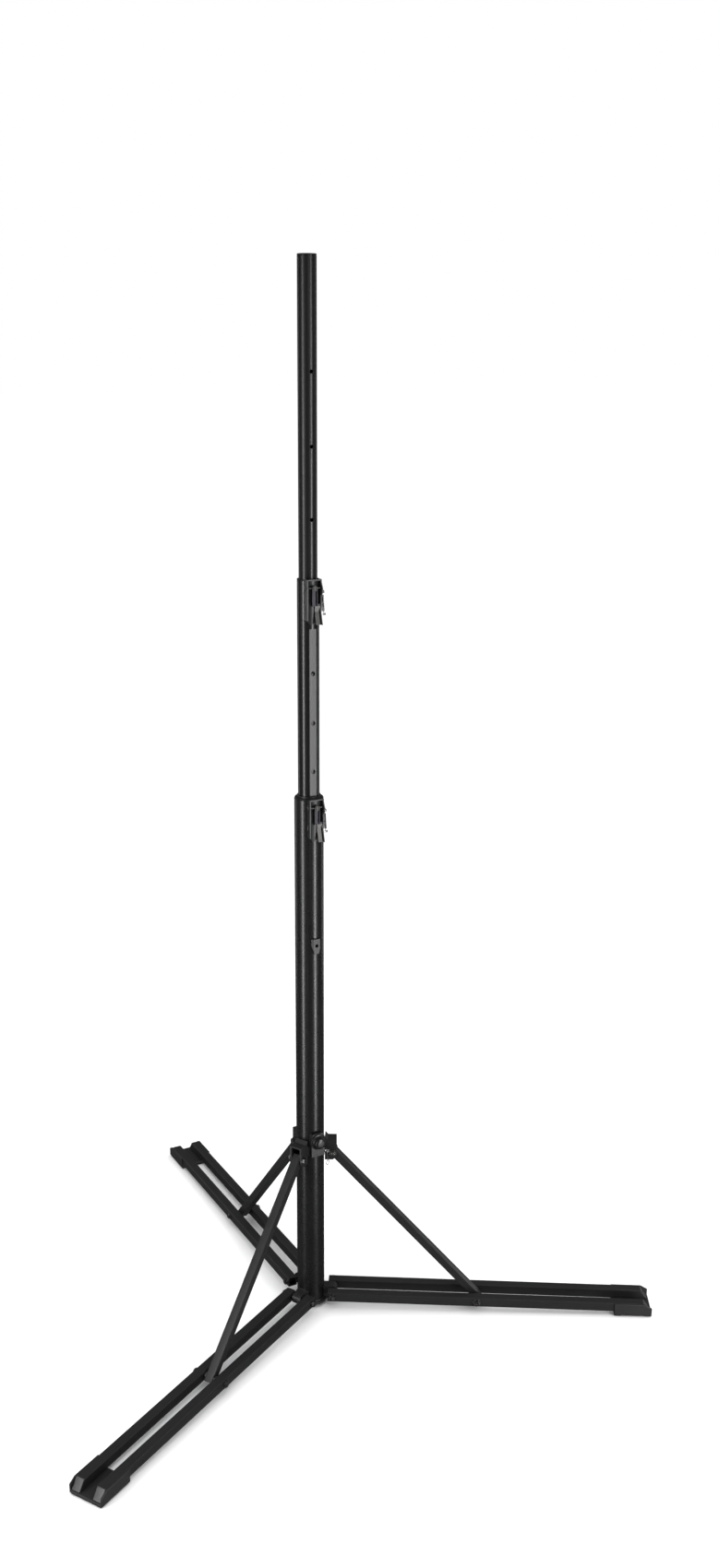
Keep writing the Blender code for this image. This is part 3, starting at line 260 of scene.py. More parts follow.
def bead(path, radius, side, pitch=0.0032):
    """A weld bead along a path: its thickness ripples as radius * (0.88 + 0.12 * |sin(pi * s / pitch)|)."""
    path = np.asarray(path, float)
    length = np.concatenate([[0.0], np.cumsum(np.linalg.norm(np.diff(path, axis=0), axis=1))])
    taper = np.clip(np.minimum(length, length[-1] - length) / (2 * radius), 0.15, 1.0) ** 0.5
    ripple = 0.86 + 0.16 * np.abs(np.sin(math.pi * length / pitch))
    return swept(path, radius * ripple * taper, side, sides=12)


def straight(start, end, count=40):
    """Points along a straight line."""
    t = np.linspace(0.0, 1.0, count)[:, None]
    return np.asarray(start) * (1 - t) + np.asarray(end) * t


def spun(shells, turn):
    """Shells turned round the mast's axis by an angle in radians."""
    cosine, sine = math.cos(turn), math.sin(turn)
    matrix = np.array(((cosine, -sine, 0.0), (sine, cosine, 0.0), (0.0, 0.0, 1.0)))
    return [(vertices @ matrix.T, faces) for vertices, faces in shells]


def piece_mesh(name, shells):
    """A mesh from its closed shells."""
    vertices, faces, count = [], [], 0
    for shell_vertices, shell_faces in shells:
        vertices.append(shell_vertices)
        faces += [[index + count for index in face] for face in shell_faces]
        count += len(shell_vertices)
    mesh = bpy.data.meshes.new(name)
    mesh.from_pydata(np.vstack(vertices).tolist(), [], faces)
    return mesh


def piece(name, shells, material, body, stands_for=(), sharp=35.0, bend=None):
    """One visible piece from its shells, riding on a body, or, when bend is given, baked where it stands and
    riding on no body.
    bend's contents are not used; only whether it is given."""
    mesh = piece_mesh(name, shells)
    mesh.shade_smooth()
    mesh.set_sharp_from_angle(angle=math.radians(sharp))
    mesh.materials.append(material)
    obj = bpy.data.objects.new(name, mesh)
    bpy.context.scene.collection.objects.link(obj)
    if bend:
        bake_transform(obj)
    else:
        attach(obj, body)
    if stands_for:
        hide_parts(*stands_for)
    return obj


# ---------------------------------------------------------------- finishes

class Finish:
    """A node material on Object coordinates, one Principled shader fed by noise fields."""

    def __init__(self, name, **constants):
        self.material = bpy.data.materials.new(name)
        self.material.use_nodes = True
        self.tree = self.material.node_tree
        self.shader = self.tree.nodes["Principled BSDF"]
        for socket, value in constants.items():
            self.shader.inputs[socket.replace("_", " ")].default_value = value
        self.place = self.tree.nodes.new("ShaderNodeTexCoord").outputs["Object"]

    def node(self, kind, inputs=(), **settings):
        """A new node, with settings and with inputs given as values or as sockets to join."""
        node = self.tree.nodes.new(kind)
        for key, value in settings.items():
            setattr(node, key, value)
        for key, value in dict(inputs).items():
            if isinstance(value, bpy.types.NodeSocket):
                self.tree.links.new(value, node.inputs[key])
            else:
                node.inputs[key].default_value = value
        return node

    def noise(self, scale, detail=3.0, stretch=(1.0, 1.0, 1.0), roughness=0.55):
        """Noise at a scale per metre, drawn out along the axes with small stretch values."""
        vector = self.place
        if stretch != (1.0, 1.0, 1.0):
            vector = self.node("ShaderNodeMapping", {"Vector": self.place, "Scale": stretch}).outputs[0]
        return self.node("ShaderNodeTexNoise", {
            "Vector": vector, "Scale": scale, "Detail": detail, "Roughness": roughness}).outputs["Fac"]

    def cells(self, scale, feature="F1"):
        """Cell distance at a scale per metre."""
        return self.node("ShaderNodeTexVoronoi", {"Vector": self.place, "Scale": scale},
                         feature=feature).outputs["Distance"]

    def ramp(self, field, stops):
        """A colour ramp given as (position, grey or colour) stops."""
        node = self.node("ShaderNodeValToRGB", {"Fac": field})
        elements = node.color_ramp.elements
        while len(elements) < len(stops):
            elements.new(0.5)
        for element, (position, value) in zip(elements, stops):
            element.position = position
            element.color = (value, value, value, 1.0) if isinstance(value, float) else (*value, 1.0)
        return node.outputs["Color"]

    def math(self, operation, a, b=0.0, clamp=False):
        """A math node on two fields."""
        return self.node("ShaderNodeMath", {0: a, 1: b}, operation=operation, use_clamp=clamp).outputs[0]

    def mix(self, factor, a, b):
        """A colour between two colours."""
        node = self.node("ShaderNodeMix", data_type="RGBA")
        for socket, value in (("Factor_Float", factor), ("A_Color", a), ("B_Color", b)):
            target = next(s for s in node.inputs if s.identifier == socket)
            if isinstance(value, bpy.types.NodeSocket):
                self.tree.links.new(value, target)
            else:
                target.default_value = (*value, 1.0) if isinstance(value, tuple) else value
        return next(s for s in node.outputs if s.identifier == "Result_Color")

    def part(self, index):
        """One coordinate of the place: 0 across, 1 towards the back, 2 up."""
        return self.node("ShaderNodeSeparateXYZ", {0: self.place}).outputs[index]

    def colour(self, field):
        self.tree.links.new(field, self.shader.inputs["Base Color"])

    def rough(self, field, lowest, highest):
        """Roughness between two values by a field."""
        node = self.node("ShaderNodeMapRange", {
            "Value": field, "From Min": 0.25, "From Max": 0.75, "To Min": lowest, "To Max": highest})
        self.tree.links.new(node.outputs[0], self.shader.inputs["Roughness"])

    def bump(self, layers):
        """Bump from (field, height in metres) layers, one on another."""
        normal = None
        for field, height in layers:
            inputs = {"Height": field, "Distance": height, "Strength": 1.0}
            if normal is not None:
                inputs["Normal"] = normal
            normal = self.node("ShaderNodeBump", inputs).outputs[0]
        self.tree.links.new(normal, self.shader.inputs["Normal"])


def powder_coat(name, dark, light, rough, streaks=0.0, strip=None):
    """Black powder coat: fine orange peel, cloudy tone, dust specks and faint rub marks.
    The strip in front of a level is duller, where the tube slides on its flat."""
    finish = Finish(name, Specular_IOR_Level=0.50, Coat_Weight=0.06, Coat_Roughness=0.22)
    cloud = finish.noise(9.0, 4.0)
    grain = finish.noise(1500.0, 2.0)
    tone = finish.mix(cloud, dark, light)
    specks = finish.ramp(finish.noise(420.0, 2.0, roughness=0.7), [(0.70, 0.0), (0.78, 1.0)])
    tone = finish.mix(finish.math("MULTIPLY", specks, 0.18), tone, (0.060, 0.058, 0.055))
    if streaks:
        rub = finish.ramp(finish.noise(150.0, 3.0, (1.0, 1.0, 0.02)), [(0.55, 0.0), (0.80, 1.0)])
        tone = finish.mix(finish.math("MULTIPLY", rub, streaks), tone, (0.045, 0.045, 0.047))
    finish.colour(tone)
    patches = finish.noise(55.0, 5.0)
    if strip is None:
        finish.rough(patches, rough - 0.03, rough + 0.05)
    else:
        rubbed = finish.math("MULTIPLY", finish.math("LESS_THAN", finish.part(1), strip[0]),
                             finish.math("LESS_THAN", finish.part(2), strip[1]))
        dulled = finish.math("ADD", finish.math("MULTIPLY", patches, 0.4), rubbed)
        finish.rough(dulled, rough - 0.02, rough + 0.24)
    finish.bump([(finish.noise(750.0, 2.0), 0.0000025), (grain, 0.000001)])
    return finish.material


def drawn_black():
    """Black anodised extrusion: fine lines drawn along the tube and slight slide marks."""
    finish = Finish("drawn_black", Specular_IOR_Level=0.5, Metallic=0.0)
    lines = finish.noise(900.0, 3.0, (1.0, 1.0, 0.006))
    broad = finish.noise(160.0, 3.0, (1.0, 1.0, 0.012))
    tone = finish.mix(lines, (0.0030, 0.0030, 0.0033), (0.0088, 0.0088, 0.0094))
    rub = finish.ramp(broad, [(0.60, 0.0), (0.82, 1.0)])
    finish.colour(finish.mix(finish.math("MULTIPLY", rub, 0.30), tone, (0.026, 0.026, 0.028)))
    finish.rough(broad, 0.26, 0.40)
    finish.bump([(lines, 0.0000015), (finish.noise(40.0, 3.0), 0.000006)])
    return finish.material


def moulded(name, dark, light, rough, grain=0.00006, scale=1100.0):
    """Moulded black plastic with a fine spark-eroded grain and slightly worn high spots."""
    finish = Finish(name, Specular_IOR_Level=0.5)
    finish.colour(finish.mix(finish.noise(26.0, 5.0), dark, light))
    finish.rough(finish.noise(90.0, 4.0), rough - 0.06, rough + 0.08)
    finish.bump([(finish.cells(scale), grain), (finish.noise(240.0, 3.0), grain)])
    return finish.material


def rubber():
    """Matt rubber with dust in its pores."""
    finish = Finish("rubber_pad", Specular_IOR_Level=0.25, Sheen_Weight=0.15, Sheen_Roughness=0.6)
    dust = finish.ramp(finish.noise(120.0, 6.0), [(0.45, 0.0), (0.75, 1.0)])
    tone = finish.mix(finish.noise(18.0, 4.0), (0.009, 0.009, 0.009), (0.016, 0.016, 0.015))
    finish.colour(finish.mix(finish.math("MULTIPLY", dust, 0.35), tone, (0.050, 0.048, 0.044)))
    finish.rough(dust, 0.72, 0.92)
    finish.bump([(finish.noise(900.0, 4.0), 0.00012), (finish.cells(340.0), 0.00008)])
    return finish.material


def plated(name, dark, light, rough, scale=140.0):
    """Zinc plate: cloudy crystals, a faint warm tint in places and brushed micro scratches."""
    finish = Finish(name, Metallic=1.0)
    cloud = finish.noise(scale, 5.0)
    crystals = finish.cells(scale * 4.0)
    tone = finish.mix(cloud, dark, light)
    warm = finish.ramp(finish.noise(scale * 0.6, 3.0), [(0.50, 0.0), (0.72, 1.0)])
    warm_tone = (1.1 * light[0], 1.1 * light[1], 0.8 * light[2])
    tone = finish.mix(finish.math("MULTIPLY", warm, 0.30), tone, warm_tone)
    finish.colour(tone)
    finish.rough(crystals, rough - 0.06, rough + 0.12)
    finish.bump([(finish.noise(2600.0, 2.0, (1.0, 0.15, 0.15)), 0.00001), (crystals, 0.00003)])
    return finish.material


def lever_zinc(prefix):
    """A latch lever's finish: zinc with painted shade above, a darker copy of its tone standing for the shade
    inside the bracket, and a brighter thumb tab below a level on the lever.
    """
    finish = Finish(prefix + "_lever_zinc", Metallic=1.0)
    level = high(prefix + "_latch_bracket")[2] - 0.0500
    below = finish.math("LESS_THAN", finish.part(2), level)
    cloud = finish.noise(260.0, 5.0)
    tab = finish.mix(cloud, (0.085, 0.085, 0.083), (0.155, 0.155, 0.151))
    # painted shade: the channel above the level gets a darker copy of the zinc tone, standing for the shade
    # inside the bracket
    painted_shade_channel = finish.mix(cloud, (0.030, 0.029, 0.034), (0.075, 0.073, 0.082))
    finish.colour(finish.mix(below, painted_shade_channel, tab))
    finish.rough(finish.noise(700.0, 3.0), 0.40, 0.58)
    finish.bump([(finish.noise(1600.0, 2.0), 0.000006)])
    return finish.material


def dull_bolt():
    """Black-oxide bolts with bright worn edges where a spanner has touched them."""
    finish = Finish("dark_bolt", Metallic=0.85)
    wear = finish.ramp(finish.noise(380.0, 5.0), [(0.46, 0.0), (0.66, 1.0)])
    finish.colour(finish.mix(wear, (0.030, 0.030, 0.031), (0.22, 0.21, 0.20)))
    finish.rough(wear, 0.28, 0.50)
    finish.bump([(finish.noise(1800.0, 3.0), 0.00003)])
    return finish.material


def pale_floor():
    """A pale matt studio floor with a barely visible mottle."""
    finish = Finish("studio_floor", Roughness=0.9, Specular_IOR_Level=0.05)
    finish.colour(finish.mix(finish.noise(3.0, 4.0), (0.900, 0.900, 0.903), (0.925, 0.925, 0.925)))
    finish.bump([(finish.noise(400.0, 2.0), 0.0001)])
    return finish.material


PAINT = powder_coat("black_powder_coat", (0.0100, 0.0100, 0.0103), (0.0155, 0.0155, 0.0158), 0.36)
MAST_PAINT = powder_coat("mast_coat", (0.0042, 0.0042, 0.0044), (0.0078, 0.0078, 0.0081), 0.27, 0.20)
MID_PAINT = powder_coat("mid_coat", (0.0042, 0.0042, 0.0044), (0.0078, 0.0078, 0.0081), 0.27, 0.20,
                        strip=(0.0012 - size("mid_tube")[0] / 2, high("mid_tube")[2] - FLAT_DROP))
BEAD_PAINT = powder_coat("painted_weld", (0.0060, 0.0060, 0.0062), (0.0110, 0.0110, 0.0112), 0.34)
ANODISED = drawn_black()
PLASTIC = moulded("moulded_black", (0.0060, 0.0060, 0.0063), (0.0120, 0.0120, 0.0124), 0.42)
GLOSSY = moulded("glossy_black", (0.0050, 0.0050, 0.0052), (0.0090, 0.0090, 0.0094), 0.28, 0.00002, 700.0)
SHOE = moulded("shoe_plastic", (0.0110, 0.0110, 0.0113), (0.0185, 0.0185, 0.0188), 0.50, 0.0001, 800.0)
RUBBER = rubber()
ZINC = plated("zinc_plate", (0.11, 0.11, 0.107), (0.22, 0.22, 0.216), 0.38)
DULL_ZINC = plated("dull_zinc", (0.035, 0.035, 0.036), (0.085, 0.085, 0.084), 0.46)
STEEL = plated("bright_wire", (0.34, 0.34, 0.345), (0.56, 0.56, 0.565), 0.26, 220.0)
DARK_BOLT = dull_bolt()
WELD = plated("bare_weld", (0.10, 0.10, 0.105), (0.20, 0.20, 0.205), 0.42, 500.0)


def by_leg(*stems):
    """The node names of a piece that every leg has."""
    return [f"{stem}_{leg}" for stem in stems for leg in LEGS]


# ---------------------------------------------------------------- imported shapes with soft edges

def softened(node, material, edge=0.0):
    """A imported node's own shape with its loose triangles merged, its round sides smooth, its flat sides flat
    and its sharp edges rounded by a small radius."""
    mesh = bpy.data.meshes.new(node + "_soft")
    shape = bmesh.new()
    shape.from_mesh(NODES[node].data)
    bmesh.ops.remove_doubles(shape, verts=shape.verts, dist=0.000002)
    bmesh.ops.dissolve_limit(shape, angle_limit=math.radians(0.2), verts=shape.verts, edges=shape.edges)
    shape.to_mesh(mesh)
    shape.free()
    mesh.materials.clear()
    mesh.materials.append(material)
    mesh.shade_smooth()
    mesh.set_sharp_from_angle(angle=math.radians(32.0))
    obj = bpy.data.objects.new(node + "_finished", mesh)
    bpy.context.scene.collection.objects.link(obj)
    if edge:
        bevel = obj.modifiers.new("edges", "BEVEL")
        bevel.width = edge
        bevel.segments = 2
        bevel.limit_method = "ANGLE"
        bevel.angle_limit = math.radians(40.0)
        bevel.harden_normals = False
    weighted = obj.modifiers.new("flat_sides", "WEIGHTED_NORMAL")
    weighted.keep_sharp = True
    weighted.weight = 80
    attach(obj, NODES[node]["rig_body"])
    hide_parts(node)
    return obj


def levels(low_end, high_end, step, extra=()):
    """Rows up a tube, about a step apart, with the extra levels among them."""
    rows = np.linspace(low_end, high_end, max(2, int((high_end - low_end) / step)))
    return np.unique(np.round(np.concatenate([rows, extra]), 6))


def tube_shell(outer, bore, rows, swell=None, angles=None, edge=0.0004):
    """A tube closed at both rims: the outer wall down and the bore up, turned about the mast."""
    foot, top = rows[0], rows[-1]
    inner_rows = rows[1:-1]
    profile = [(bore, foot + edge)] + [(bore, z) for z in inner_rows]
    profile += [(bore, top - edge), (bore + edge, top), (outer - edge, top), (outer, top - edge)]
    profile += [(outer, z) for z in inner_rows[::-1]] + [(outer, foot + edge), (outer - edge, foot),
                (bore + edge, foot)]
    return turned(profile, (0.0, 0.0, 0.0), UP, 144, ring=True, swell=swell, angles=angles)


def pierce(obj, cutters):
    """Holes cut through a piece by closed shapes, worked out here so that no cutter is left."""
    cutter = piece_mesh("cutter", cutters)
    tool = bpy.data.objects.new("cutter", cutter)
    bpy.context.scene.collection.objects.link(tool)
    hole = obj.modifiers.new("holes", "BOOLEAN")
    hole.operation, hole.solver, hole.object = "DIFFERENCE", "EXACT", tool
    bpy.context.view_layer.update()
    graph = bpy.context.evaluated_depsgraph_get()
    cut = bpy.data.meshes.new_from_object(obj.evaluated_get(graph))
    obj.modifiers.remove(hole)
    bpy.data.objects.remove(tool, do_unlink=True)
    material = obj.data.materials[0]
    obj.data = cut
    cut.materials.clear()
    cut.materials.append(material)
    cut.shade_smooth()
    cut.set_sharp_from_angle(angle=math.radians(12.0))


def drill(radius, height, depth):
    """A round hole's cutter through a tube's front wall."""
    return turned([(radius, depth * 0.35), (radius, depth * 2.0)], (0.0, 0.0, height), FRONT, 40)


def slot_cutter(half_width, low_end, high_end, near, far):
    """A box cutter through a tube's front wall, given as a grid of two four-cornered rings."""
    ring = np.array(((-1.0, low_end), (1.0, low_end), (1.0, high_end), (-1.0, high_end)))
    rows = [np.stack([ring[:, 0] * half_width, np.full(4, -depth), ring[:, 1]], 1) for depth in (near, far)]
    return sheet(np.array(rows))


def make_tubes():
    """The three tubes as fine grids with their flat strip, long grooves, lock holes and tooth windows."""
    step = 0.012

    def window(radius, top):
        level = top - TOOTH_DROP
        return slot_cutter(WINDOW_HALF_WIDE,
                           level - TOOTH_HALF_HIGH - 0.0045, level + TOOTH_HALF_HIGH + 0.0015,
                           radius * 0.5, radius * 1.5)

    radius, foot, top = size("main_tube")[0] / 2, low("main_tube")[2], high("main_tube")[2]
    main_top = top
    obj = piece("main_tube_finished",
                [tube_shell(radius, radius - TUBE_WALL, levels(foot, top, step), edge=0.0007)],
                MAST_PAINT, "mast", ["main_tube"])
    catch = (low("catch_plate")[2] + 0.0170)
    pierce(obj, [drill(0.0033, middle("lock_knob")[2], radius), drill(0.0033, catch, radius),
                 window(radius, top)])

    radius, foot, top = size("mid_tube")[0] / 2, low("mid_tube")[2], high("mid_tube")[2]
    mid_top = top
    flat_top, flat = top - FLAT_DROP, radius - FLAT_DEEP

    def flatten(angle, wide, along):
        strip = flat / np.maximum(np.cos(angle), 0.2)
        outer = (wide > radius - 0.0006) & (along < flat_top)
        return np.where(outer, np.minimum(wide, strip), wide)
    strip_half = math.acos(flat / radius)
    angles = np.unique(np.concatenate([np.linspace(-math.pi, math.pi, 145)[:-1], [-strip_half, strip_half]]))
    rows = levels(foot, top, step, [flat_top - 0.0001, flat_top + 0.0001])
    obj = piece("mid_tube_finished", [tube_shell(radius, radius - TUBE_WALL, rows, flatten, angles)],
                MID_PAINT, "mid_section", ["mid_tube"])
    pierce(obj, [drill(0.0045, main_top - TOOTH_DROP + k * 0.0950, radius) for k in range(-5, 4)]
           + [window(radius, top)])

    radius, foot, top = size("top_tube")[0] / 2, low("top_tube")[2], high("top_tube")[2]
    groove_depth, groove_middle, groove_half = 0.0008, 0.0029, 0.00065

    def grooves(angle, wide, along):
        sideways = np.abs(radius * np.sin(angle))
        inside = np.clip((groove_half - np.abs(sideways - groove_middle)) / 0.0002 + 0.5, 0.0, 1.0)
        front = (np.cos(angle) > 0) & (wide > radius - 0.0006)
        return np.where(front, wide - groove_depth * inside, wide)
    fine = np.radians(np.concatenate([np.arange(-18.0, 18.01, 0.33), np.arange(20.5, 340.0, 2.5)]))
    rows = levels(foot, top, step)
    obj = piece("top_tube_finished", [tube_shell(radius, radius - TOP_WALL, rows, grooves, fine)],
                ANODISED, "top_section", ["top_tube"])
    pierce(obj, [drill(0.0036, mid_top + 0.1110 + k * 0.1312, radius) for k in range(3)]
           + [drill(0.0036, mid_top - TOOTH_DROP - k * 0.1312, radius) for k in range(4)])


# ---------------------------------------------------------------- bolts

def washer(inner, outer, start, end, origin, axis):
    """A washer with rounded edges between two levels along an axis."""
    edge = (end - start) * 0.3
    profile = rounded([(inner, start), (outer, start), (outer, end), (inner, end)], edge)
    return turned(profile, origin, axis, 40, ring=True)


def hex_head(corner, start, end, origin, axis):
    """A six-sided head whose top corners are chamfered to a circle."""
    chamfer = corner * 0.14
    profile = [(0.0, start), (corner, start), (corner, end - chamfer * 0.6),
               (corner - chamfer, end - 0.0001), (corner - chamfer * 1.6, end), (0.0, end)]
    rows = np.array(profile)[1:-1]
    return turned(rows, origin, axis, 72, swell=hexagon(corner))


def dome_end(radius, start, end, origin, axis):
    """A bolt's end: a thread of rounded grooves with a chamfered tip."""
    along = np.linspace(start, end, 34)
    wave = 0.94 + 0.06 * np.cos(2 * math.pi * (along - start) / 0.0010)
    tip = np.clip((end - along) / 0.0007, 0.0, 1.0) * 0.2 + 0.8
    return turned(np.stack([radius * wave * tip, along], 1), origin, axis, 32)


def bolt_end(shoulder, reach, origin, axis, nut):
    """One end of a bolt beyond its shoulder: a washer, then a head, or a nut with the thread's tip."""
    seat = shoulder + WASHER_HIGH
    shells = [washer(BOLT_SHANK * 0.9, WASHER_WIDE, shoulder, seat, origin, axis)]
    if nut:
        top = seat + (reach - seat) * 0.72
        shells.append(hex_head(BOLT_HEAD, seat, top, origin, axis))
        shells.append(dome_end(BOLT_SHANK, seat, reach, origin, axis))
    else:
        shells.append(hex_head(BOLT_HEAD, seat, reach, origin, axis))
    return shells


def make_bolts():
    """The hub, brace and collar bolts, modelled for the leg that points along +Y and turned to the others."""
    across_leg = np.array((-1.0, 0.0, 0.0))
    home = azimuth("c")
    shank = BOLT_SHANK - 0.0001
    washer_and_head = WASHER_HIGH + HEAD_HIGH
    for stem, holder in (("hub_bolt", "leg"), ("collar_bolt", "collar")):
        node = stem + "_c"
        origin, reach = middle(node), size(node)[0] / 2
        shoulder = reach - washer_and_head
        shells = bolt_end(shoulder, reach, origin, across_leg, False)
        shells += bolt_end(shoulder, reach, origin, -across_leg, True)
        shells.append(turned([(shank, -shoulder), (shank, shoulder)], origin, across_leg, 32))
        for leg in LEGS:
            body = "collar" if holder == "collar" else "leg_" + leg
            finish = ZINC if holder == "collar" else DARK_BOLT
            piece(f"{stem}_detail_{leg}", spun(shells, azimuth(leg) - home), finish, body,
                  [f"{stem}_{leg}"])
    for stem, nut in (("brace_bolt", False), ("brace_nut", True)):
        node = stem + "_c"
        centre, half = middle(node), size(node)[0] / 2
        way = np.array((math.copysign(1.0, centre[0]), 0.0, 0.0))
        origin = np.array((0.0, centre[1], centre[2]))
        reach = abs(centre[0]) + half
        inner = abs(centre[0]) - half
        shoulder = reach - washer_and_head
        shells = bolt_end(shoulder, reach, origin, way, nut)
        shells.append(turned([(shank, inner), (shank, shoulder)], origin, way, 32))
        for leg in LEGS:
            piece(f"{stem}_detail_{leg}", spun(shells, azimuth(leg) - home), DARK_BOLT, "leg_" + leg,
                  [f"{stem}_{leg}"])


# ---------------------------------------------------------------- knob, pull pin and ring

def make_knob():
    """The lock knob: a broad rounded flange, a waist and a dome, turned about the pull's axis."""
    node_low, node_high = low("lock_knob"), high("lock_knob")
    centre = middle("lock_knob")
    end, back = -node_low[1], -node_high[1]
    wide = (node_high[0] - node_low[0]) / 2
    dome = 0.0125
    flange_foot = end - 0.0115 - 0.0030
    flange = end - 0.0115
    origin = (centre[0], 0.0, centre[2])
    profile = rounded([
        (0.0030, back), (0.0030, flange_foot), (wide, flange_foot), (wide, flange - 0.0004),
        (dome + 0.0012, flange), (dome - 0.0006, flange + 0.0022), (dome, flange + 0.0048),
        (dome - 0.0012, end - 0.0016), (dome - 0.0050, end - 0.0002), (0.0020, end)], 0.0016, 5)
    body = turned(profile, origin, FRONT, 72)
    ring = turned(rounded([(0.0050, end - 0.0003), (0.0064, end - 0.0003), (0.0064, end - 0.0011),
                           (0.0050, end - 0.0011)], 0.0002), origin, FRONT, 48, ring=True)
    piece("knob_detail", [body, ring], GLOSSY, "knob", ["lock_knob"])


def make_plunger():
    """The pull pin with its necked head and a wire ring hung in the neck."""
    axis = unit(JOINTS["ring_plunger_pull"]["axis"])
    corner_low, corner_high = low("ring_plunger"), high("ring_plunger")
    height = (corner_low[2] + corner_high[2]) / 2
    ring_point = pivot("pull_ring_swing")
    neck = float(ring_point @ axis)
    half_neck, head = 0.0012, 0.0038
    boss = neck - half_neck - 0.0036
    origin = np.array((0.0, 0.0, height))
    profile = rounded([
        (0.0022, boss - 0.0098), (0.0022, boss), (head, boss), (head, neck - half_neck),
        (0.0022, neck - half_neck), (0.0022, neck + half_neck), (head, neck + half_neck),
        (head, neck + half_neck + 0.0018), (0.0012, neck + half_neck + 0.0018)], 0.0005, 3)
    piece("plunger_detail", [turned(profile, origin, axis, 36)], STEEL, "plunger",
          ["ring_plunger"])
    side = unit(np.cross(UP, axis))
    wire = 0.0006
    centre = origin + axis * neck
    bottom = low("pull_ring")[2]
    ring_radius = 0.0047
    ring_centre = np.array((centre[0], centre[1], bottom + ring_radius + wire))
    eye = 0.0022 + wire + 0.0003
    eye_loop = loop(centre, eye, side, UP, -38.0, 234.0, 40)
    lower = loop(ring_centre, ring_radius, side, UP, 90.0, 90.0 + 345.0, 56)
    t = np.linspace(0.0, 1.0, 26)[1:-1, None]
    ease = t * t * (3 - 2 * t)
    link = eye_loop[-1] * (1 - t) + lower[0] * t
    shift = (eye_loop[-1] - lower[0]) @ side * (t - ease)
    link = link + shift * side
    path = np.vstack([eye_loop, link, lower])
    piece("ring_detail", [swept(path, wire, axis, 12)], STEEL, "ring", ["pull_ring"])


# ---------------------------------------------------------------- latches

def stud(start, end, head, centre):
    """A riveted stud along +X with a domed head."""
    profile = rounded([(STUD_SHANK, start), (STUD_SHANK, end), (head, end), (head, end + STUD_RISE * 0.45),
                       (head * 0.62, end + STUD_RISE), (0.0003, end + STUD_RISE)], 0.0004, 4)
    return turned(profile, (0.0, centre[1], centre[2]), (1.0, 0.0, 0.0), 32)


